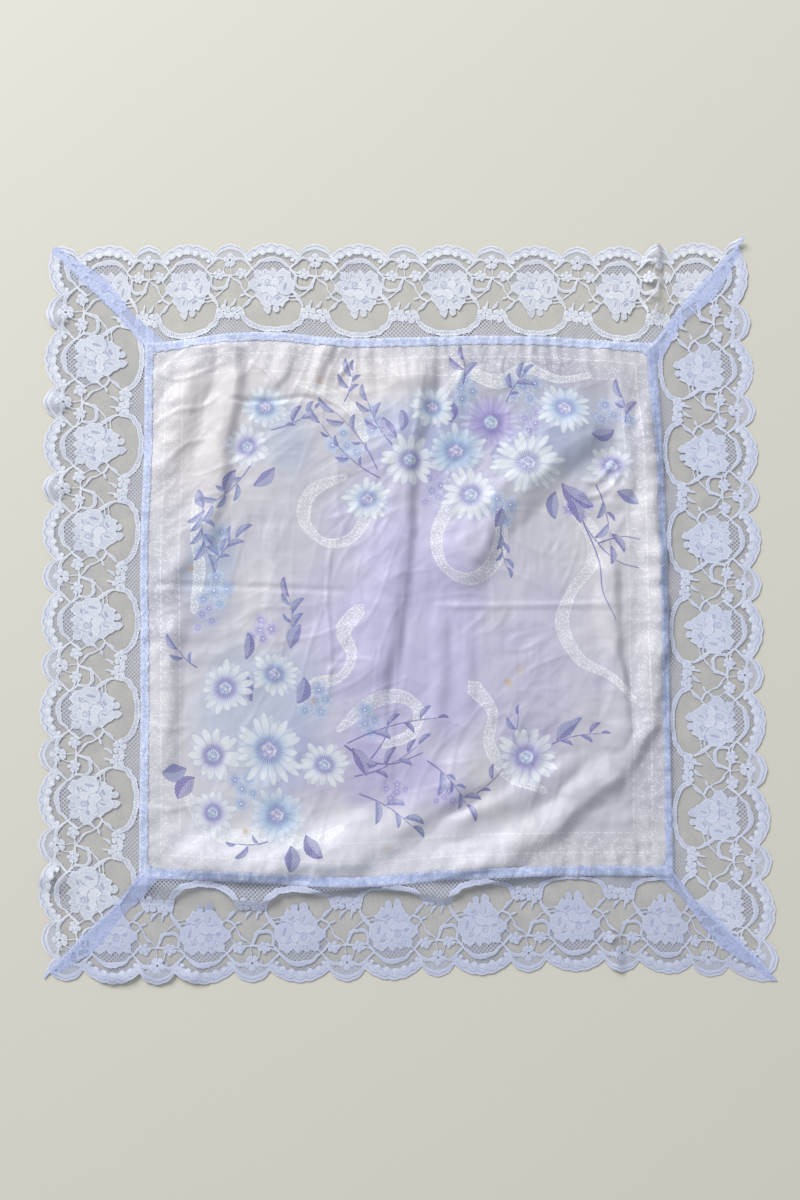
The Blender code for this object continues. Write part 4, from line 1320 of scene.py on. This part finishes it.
def net_finish(name, shade):
    """Fine net between the cords: an even sheer part, dark so that it also paints the lace's shade on the
    floor in its windows, and a lattice of threads.
    """
    finish = Finish(f"{name}_net", 0.8, 0.1, 0.1)
    place = finish.attribute("place").outputs["Vector"]
    s, t, _ = finish.parts(place)
    even, lattice, mitre = finish.parts(finish.attribute("cover").outputs["Vector"])
    patch = finish.noise(place, 0.06, 2)
    grain = finish.noise(place, 0.5, 2)
    # The even sheer part is partly fine net and partly painted shade, thicker on the strips with more shade
    film_and_shade = even * min(1.0, 0.6 + 4 * shade) * (0.5 + grain) * (0.5 + patch)
    first, second = (abs((way / NET_PITCH).fraction() - 0.5) for way in (s + t, s - t))
    threads = lattice * first.least(second).step(0.23, 0.10) * 0.9
    alpha = film_and_shade.most(threads).most(mitre * (grain * 0.8 + 0.3))
    finish.link(alpha.clamped(), finish.shader.inputs["Alpha"])
    pale = (even.step(0.3, 0.7) + threads * 0.9 + (grain - 0.5) * 0.4).clamped()
    colour = finish.mix(mitre * 0.9, finish.mix(pale, NET_DARK_AND_SHADE, NET_PALE), DOUBLED_BLUE)
    # Painted shade: the net is greyed the same way
    finish.colour(finish.mix(shade, colour, LACE_PAINTED_SHADE))
    return finish.material


SATIN_WHITE = srgb(214, 213, 222)
SATIN_WARM = srgb(220, 215, 219)
SATIN_PALE = srgb(226, 228, 242)
SATIN_LILAC = srgb(196, 193, 230)
SATIN_GREY = srgb(184, 185, 202)
PETAL_WHITE = srgb(232, 238, 243)
PETAL_EDGE = srgb(186, 192, 216)
BLUE_TINT = srgb(150, 184, 224)
VIOLET_TINT = srgb(156, 146, 210)
DEEP_VIOLET = srgb(106, 90, 168)
LEAF_BLUE = srgb(128, 152, 204)
SILVER = srgb(245, 248, 252)
STAIN_BROWN = srgb(206, 178, 140)
# The silver band along the seams: where it sets in, and its dashed lines, each with its strength
BAND_EDGE = (216, 228)
DASHED_LINES = ((238.0, 0.75), (220.0, 0.6))
DASH_PITCH = 7.0
# A daisy's two rows of petals: their turn in petals, and how far behind they are
PETAL_ROWS = ((0.5, 1.0), (0.0, 0.0))
# Shares of a daisy's radius: its disc's edge and the ring of stamens round it
DISC_EDGE = (0.225, 0.20)
STAMENS_FROM = (0.44, 0.26)
# Patches of tint on the satin, in the order they are laid: middle, half sizes, colour and strength
CLOUDS = (
    (0, 60, 210, 300, SATIN_GREY, 0.5), (190, -150, 130, 120, SATIN_GREY, 0.5),
    (140, 190, 160, 70, SATIN_GREY, 0.85), (10, -20, 110, 200, SATIN_LILAC, 0.9),
    (-60, -30, 80, 110, SATIN_LILAC, 0.5), (120, -60, 90, 100, SATIN_LILAC, 0.5),
    (-210, 0, 60, 90, SATIN_GREY, 0.7), (-60, 216, 120, 50, SATIN_WARM, 0.8),
    (-190, 170, 70, 90, SATIN_WARM, 0.9), (-60, -230, 190, 44, SATIN_PALE, 0.9),
    (60, 150, 120, 60, VIOLET_TINT, 0.30), (30, 170, 90, 40, BLUE_TINT, 0.30),
    (160, 160, 70, 50, BLUE_TINT, 0.30), (-140, -120, 80, 90, BLUE_TINT, 0.36),
    (-90, -150, 70, 50, VIOLET_TINT, 0.30), (-190, 30, 30, 60, BLUE_TINT, 0.30),
    (-120, 160, 40, 50, BLUE_TINT, 0.26), (10, -170, 80, 30, VIOLET_TINT, 0.24),
    (120, -150, 50, 44, VIOLET_TINT, 0.26),
)
# Old stains: middle, radius and strength
STAINS = (
    (100, -80, 6, 0.7), (112, -68, 8, 0.35), (-82, 214, 5, 0.5), (-208, 30, 4, 0.8), (-156, -214, 4, 0.7),
    (-90, -92, 3.5, 0.8), (-20, -226, 6, 0.3),
)


def bloom(finish, x, y, number, colour):
    """One layer of daisies over a colour: two rows of streaked petals, stamens and a mottled disc."""
    middle_x, middle_y, radius = finish.parts(finish.attribute(f"bloom_{number}").outputs["Vector"])
    count_and_turn, violet, reach = finish.parts(finish.attribute(f"bloom_{number}_kind").outputs["Vector"])
    count = count_and_turn.math("FLOOR")
    turn = count_and_turn.fraction()
    dx, dy = (x - middle_x) / radius, (y - middle_y) / radius * (1.0 + turn * 0.25)
    r = (dx * dx + dy * dy).math("SQRT")
    around = dy.math("ARCTAN2", dx) / (2 * math.pi) + turn
    tint = finish.mix(violet, BLUE_TINT, VIOLET_TINT)
    petal_tint = r.step(reach, reach * 0.15)
    colour = finish.mix(r.step(1.0, 0.3) * 0.35, colour, tint)
    for offset, back in PETAL_ROWS:
        cell = around * count + offset
        index = cell.math("FLOOR")
        skew, size = finish.chance(finish.vector(index.math("FLOORED_MODULO", count), turn * 9, offset))
        length = 1.0 - size * 0.30 - 0.04 * back
        a = r / length
        off_middle = cell - index - 0.5 + (skew - 0.5) * (0.2 + a * 0.34)
        lateral = abs(off_middle) * r * (2 * math.pi)
        width = (1.0 - a.math("POWER", 4.2)).clamped().math("SQRT") * (a * 0.64 + 0.40) * (math.pi * 0.94)
        inside = (width - lateral) / count
        streak = finish.noise(finish.vector(off_middle * 26, a * 1.2, index), 1.0, 1)
        face = finish.mix(inside.step(0.0, 0.07), PETAL_EDGE, PETAL_WHITE)
        strength = (petal_tint * (0.30 + streak * 1.2) + back * 0.26 + (streak - 0.5) * 0.45).clamped()
        shown = inside.step(-0.016, 0.045) * (0.80 - 0.25 * back)
        colour = finish.mix(shown, colour, finish.mix(strength, face, tint))
    dashes = abs((around * count * 2).fraction() - 0.5).step(0.30, 0.16)
    colour = finish.mix(dashes * r.step(*STAMENS_FROM) * 0.7, colour, DEEP_VIOLET)
    disc = finish.mix(violet, VIOLET_TINT, BLUE_TINT)
    grain = finish.noise(finish.vector(dx * 9, dy * 9), 1.0, 2)
    ring = abs(r - 0.10).step(0.04, 0.01)
    disc = finish.mix(((grain - 0.5) * 3.0 + 0.5).clamped(), disc, PETAL_WHITE)
    disc = finish.mix((ring * 0.3 + r.step(0.15, 0.22) * 0.6 * grain + 0.06).clamped(), disc, DEEP_VIOLET)
    return finish.mix(r.step(*DISC_EDGE), colour, disc)


def posies(finish, x, y, colour):
    """Small blossoms of five round petals with a pale eye."""
    middle_x, middle_y, radius = finish.parts(finish.attribute("posy").outputs["Vector"])
    turn, violet, _ = finish.parts(finish.attribute("posy_kind").outputs["Vector"])
    dx, dy = (x - middle_x) / radius, (y - middle_y) / radius
    r = (dx * dx + dy * dy).math("SQRT")
    swing = abs((dy.math("ARCTAN2", dx) * (2.5 / math.pi) + turn).fraction() - 0.5)
    inside = 1.0 - swing * swing * 1.8 - r
    streak = finish.noise(finish.vector(swing * 9, r, turn), 2.0, 1)
    tint = finish.mix(violet, BLUE_TINT, VIOLET_TINT)
    paleness = inside.step(0.45, 0.05) * 0.5 + 0.14 + (streak - 0.5) * 0.7
    between = swing.step(0.36, 0.5) * r.step(0.2, 0.5)
    petal = finish.mix(paleness.clamped(), tint, PETAL_WHITE)
    petal = finish.mix(between * 0.6, petal, DEEP_VIOLET)
    colour = finish.mix(r.step(1.25, 0.7) * 0.25, colour, tint)
    colour = finish.mix(inside.step(-0.06, 0.20) * 0.78, colour, petal)
    colour = finish.mix(r.step(0.34, 0.14) * 0.5, colour, DEEP_VIOLET)
    return finish.mix(r.step(0.17, 0.08) * 0.9, colour, PETAL_WHITE)


def leaves(finish, colour):
    """The leaves and stems, with a paler rib and their own streaks."""
    distance, half, run = finish.parts(finish.attribute("leaf").outputs["Vector"])
    violet, number, _ = finish.parts(finish.attribute("leaf_kind").outputs["Vector"])
    teeth = (run * 0.42 + number * 0.3).fraction() * (half * 0.16).least(0.9)
    shown = (half - teeth - abs(distance)).step(-0.2, 0.4)
    streak = finish.noise(finish.vector(distance * 1.1, run * 0.3, number * 7), 1.0, 2)
    tint = finish.mix((violet + (streak - 0.5) * 0.9).clamped(), LEAF_BLUE, DEEP_VIOLET)
    broad = half.step(1.6, 3.2)
    veins = ((run - abs(distance) * 1.3) * 1.5).math("SINE").step(0.5, 1.0) * broad * 0.3
    lit = distance.step(-0.6, 0.8) * 0.45 * broad
    pale = (abs(distance).step(0.7, 0.1) * broad * 0.35 + (streak - 0.45) * 0.8 + veins + lit).clamped()
    tint = finish.mix(pale, tint, PETAL_EDGE)
    return finish.mix(shown * (0.76 + streak * 0.24), colour, tint)


def speckles(finish, place, amount):
    """Silvery printed grains, as many as the amount asks for."""
    fine = finish.noise(place, 0.62, 2)
    return (fine + amount * 0.16).step(0.56, 0.66)


def silver_print(finish, place, x, y, colour):
    """The speckled ribbons and the speckled band with its dashed lines along the seams."""
    distance, half, _ = finish.parts(finish.attribute("ribbon").outputs["Vector"])
    inside = half - abs(distance)
    on_ribbon = inside.step(-0.8, 0.8)
    rim = inside.step(2.0, 0.6)
    out = abs(x).most(abs(y))
    patchy = finish.noise(place, 0.035, 2)
    sprigs = finish.noise(place, 0.16, 1)
    band = out.step(*BAND_EDGE) * (patchy * 0.6 + (sprigs - 0.5) * 2.4 + 0.2).step(0.40, 0.60)
    along = abs(x).least(abs(y))
    colour = finish.mix(on_ribbon * 0.28, colour, PETAL_WHITE)
    amount = on_ribbon * (rim * 0.5 + patchy * 0.8) + band * 0.4
    dots = speckles(finish, place, amount) * (on_ribbon + band * 0.8).clamped()
    for line, strength in DASHED_LINES:
        dash = abs((along / DASH_PITCH).fraction() - 0.5).step(0.40, 0.30) * abs(out - line).step(0.9, 0.3)
        dots = dots.most(dash * strength)
    return finish.mix(dots * 0.9, colour, SILVER), dots


def satin_finish(bloom_count):
    """Printed satin: tinted patches, the silver print, leaves, daisies and old stains on a fine weave."""
    finish = Finish("satin", 0.42, 0.15, 0.5)
    place = finish.attribute("place").outputs["Vector"]
    x, y, _ = finish.parts(place)
    cloud = finish.noise(place, 0.016, 3)
    colour = SATIN_WHITE
    for cx, cy, half_x, half_y, tint, strength in CLOUDS:
        dx, dy = (x - cx) / half_x, (y - cy) / half_y
        away = dx * dx + dy * dy + (cloud - 0.5) * 1.6
        colour = finish.mix(away.step(1.1, 0.0) * strength, colour, tint)
    colour, dots = silver_print(finish, place, x, y, colour)
    colour = posies(finish, x, y, colour)
    colour = leaves(finish, colour)
    for number in range(bloom_count):
        colour = bloom(finish, x, y, number, colour)
    for cx, cy, radius, strength in STAINS:
        dx, dy = x - cx, y - cy
        away = (dx * dx + dy * dy).math("SQRT") + (finish.noise(place, 0.25, 1) - 0.5) * radius
        colour = finish.mix(away.step(radius, radius * 0.2) * strength, colour, STAIN_BROWN)
    weave = finish.noise(finish.vector(x * 0.5, y * 4.0), 1.0, 2)
    colour = finish.mix((weave - 0.35).clamped() * 0.35, colour, PETAL_EDGE)
    finish.colour(colour)
    finish.bump(weave + dots * 0.5, 0.0002, 0.5)
    return finish.material


def satin_piece():
    """The satin square, a fine grid."""
    cells = round(2 * HALF_CUT / SATIN_CELL)
    line = np.linspace(-HALF_CUT, HALF_CUT, cells + 1)
    flat_x, flat_y = (grid.ravel() for grid in np.meshgrid(line, line))
    x, y = laid(flat_x, flat_y)
    z = fold_height(x, y) + crumple_height(flat_x, flat_y)
    z = np.maximum(z + sum(ridge_height(x, y, *row) for row in CREASES.values()), 0) + SATIN_LIFT
    row = cells + 1
    first = (np.arange(cells)[:, None] * row + np.arange(cells)).ravel()
    faces = np.stack((first, first + 1, first + row + 1, first + row), axis=1)
    attributes = {"place": np.stack((flat_x, flat_y, np.zeros(len(flat_x))), axis=1)}
    for title, strokes in (("ribbon", ribbon_strokes()), ("leaf", leaf_strokes())):
        attributes[title], attributes[f"{title}_kind"] = stroke_layer(flat_x, flat_y, faces, strokes)
    attributes["posy"], attributes["posy_kind"] = posy_layer(flat_x, flat_y, faces)
    layers = bloom_layers(flat_x, flat_y, faces)
    for number, (places, kinds) in enumerate(layers):
        attributes[f"bloom_{number}"] = places
        attributes[f"bloom_{number}_kind"] = kinds
    return mesh_piece("satin_panel", (x, y, z), faces.tolist(), satin_finish(len(layers)), attributes)


FLOOR_COLOUR = srgb(223, 221, 211)
FLOOR_SHADE = srgb(214, 212, 202)
FLOOR_SIZE = 40.0


def make_floor():
    """A plain pale floor with a faint grain."""
    finish = Finish("floor", 0.9, 0.0, 0.2)
    place = finish.node("ShaderNodeTexCoord").outputs["Object"]
    finish.colour(finish.mix(finish.noise(place, 6, 4) * 0.12, FLOOR_COLOUR, FLOOR_SHADE))
    finish.bump(finish.noise(place, 900, 2), 0.0003, 0.4)
    bpy.ops.mesh.primitive_plane_add(size=FLOOR_SIZE)
    floor = bpy.context.object
    floor.name = "floor"
    floor.data.materials.append(finish.material)


CAMERA_HEIGHT = 1.11
CAMERA_BACK = -0.160
CAMERA_TILT = 8.0
FRAME_HEIGHT_PX = 1200
FOCAL_PX = 1160
SENSOR_MM = 36.0
# The window's middle, its side, light and colour, and the light that the room gives from all round
WINDOW_PLACE = (-2.5, 3.4, 3.1)
WINDOW_SIDE = 2.8
WINDOW_POWER = 256
WINDOW_COLOUR = (1.0, 0.985, 0.95)
ROOM_COLOUR = (0.95, 0.97, 1.0, 1)
ROOM_STRENGTH = 0.42


def make_camera():
    """Stands over the scarf, a little in front of its middle."""
    data = bpy.data.cameras.new("camera")
    data.sensor_width = SENSOR_MM
    data.lens = SENSOR_MM * FOCAL_PX / FRAME_HEIGHT_PX
    camera = bpy.data.objects.new("camera", data)
    camera.location = (-MIDDLE[0] * MM, CAMERA_BACK - MIDDLE[1] * MM, CAMERA_HEIGHT)
    camera.rotation_euler = (math.radians(CAMERA_TILT), 0, 0)
    bpy.context.scene.collection.objects.link(camera)
    bpy.context.scene.camera = camera


def make_lights():
    """A soft window light from the upper left and an even fill."""
    data = bpy.data.lights.new("window", "AREA")
    data.shape = "SQUARE"
    data.size = WINDOW_SIDE
    data.energy = WINDOW_POWER
    data.color = WINDOW_COLOUR
    window = bpy.data.objects.new("window", data)
    window.location = WINDOW_PLACE
    x, y, z = WINDOW_PLACE
    window.rotation_euler = (math.atan2(math.hypot(x, y), z), 0, math.atan2(-x, y) + math.pi)
    bpy.context.scene.collection.objects.link(window)
    room = bpy.data.worlds.new("room")
    room.use_nodes = True
    background = room.node_tree.nodes["Background"]
    background.inputs["Color"].default_value = ROOM_COLOUR
    background.inputs["Strength"].default_value = ROOM_STRENGTH
    bpy.context.scene.world = room
    bpy.context.scene.view_settings.view_transform = "Standard"


def dress_panel():
    """The satin, on its solid's node."""
    satin = satin_piece()
    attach(satin, "root")
    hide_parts("centre_panel")


def dress_strips():
    """The lace strips, each a net with its pattern on it."""
    net_tile, pattern_tile = draw_tile(NET_CELL), draw_tile(PATTERN_CELL)
    for name, (quarters, shade, blue_and_shade, flaps, roses) in STRIPS.items():
        net_strip, pattern_strip = Strip(net_tile, flaps, roses), Strip(pattern_tile, flaps, roses)
        thread = thread_finish(name, shade, blue_and_shade)
        net = strip_piece(f"{name}_net", quarters, net_strip, net_layer, net_finish(name, shade))
        pattern = strip_piece(f"{name}_pattern", quarters, pattern_strip, pattern_layer, thread)
        for piece in (net, pattern):
            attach(piece, "root")
            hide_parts(name)


def main():
    make_camera()
    make_lights()
    make_floor()
    dress_panel()
    dress_strips()


main()
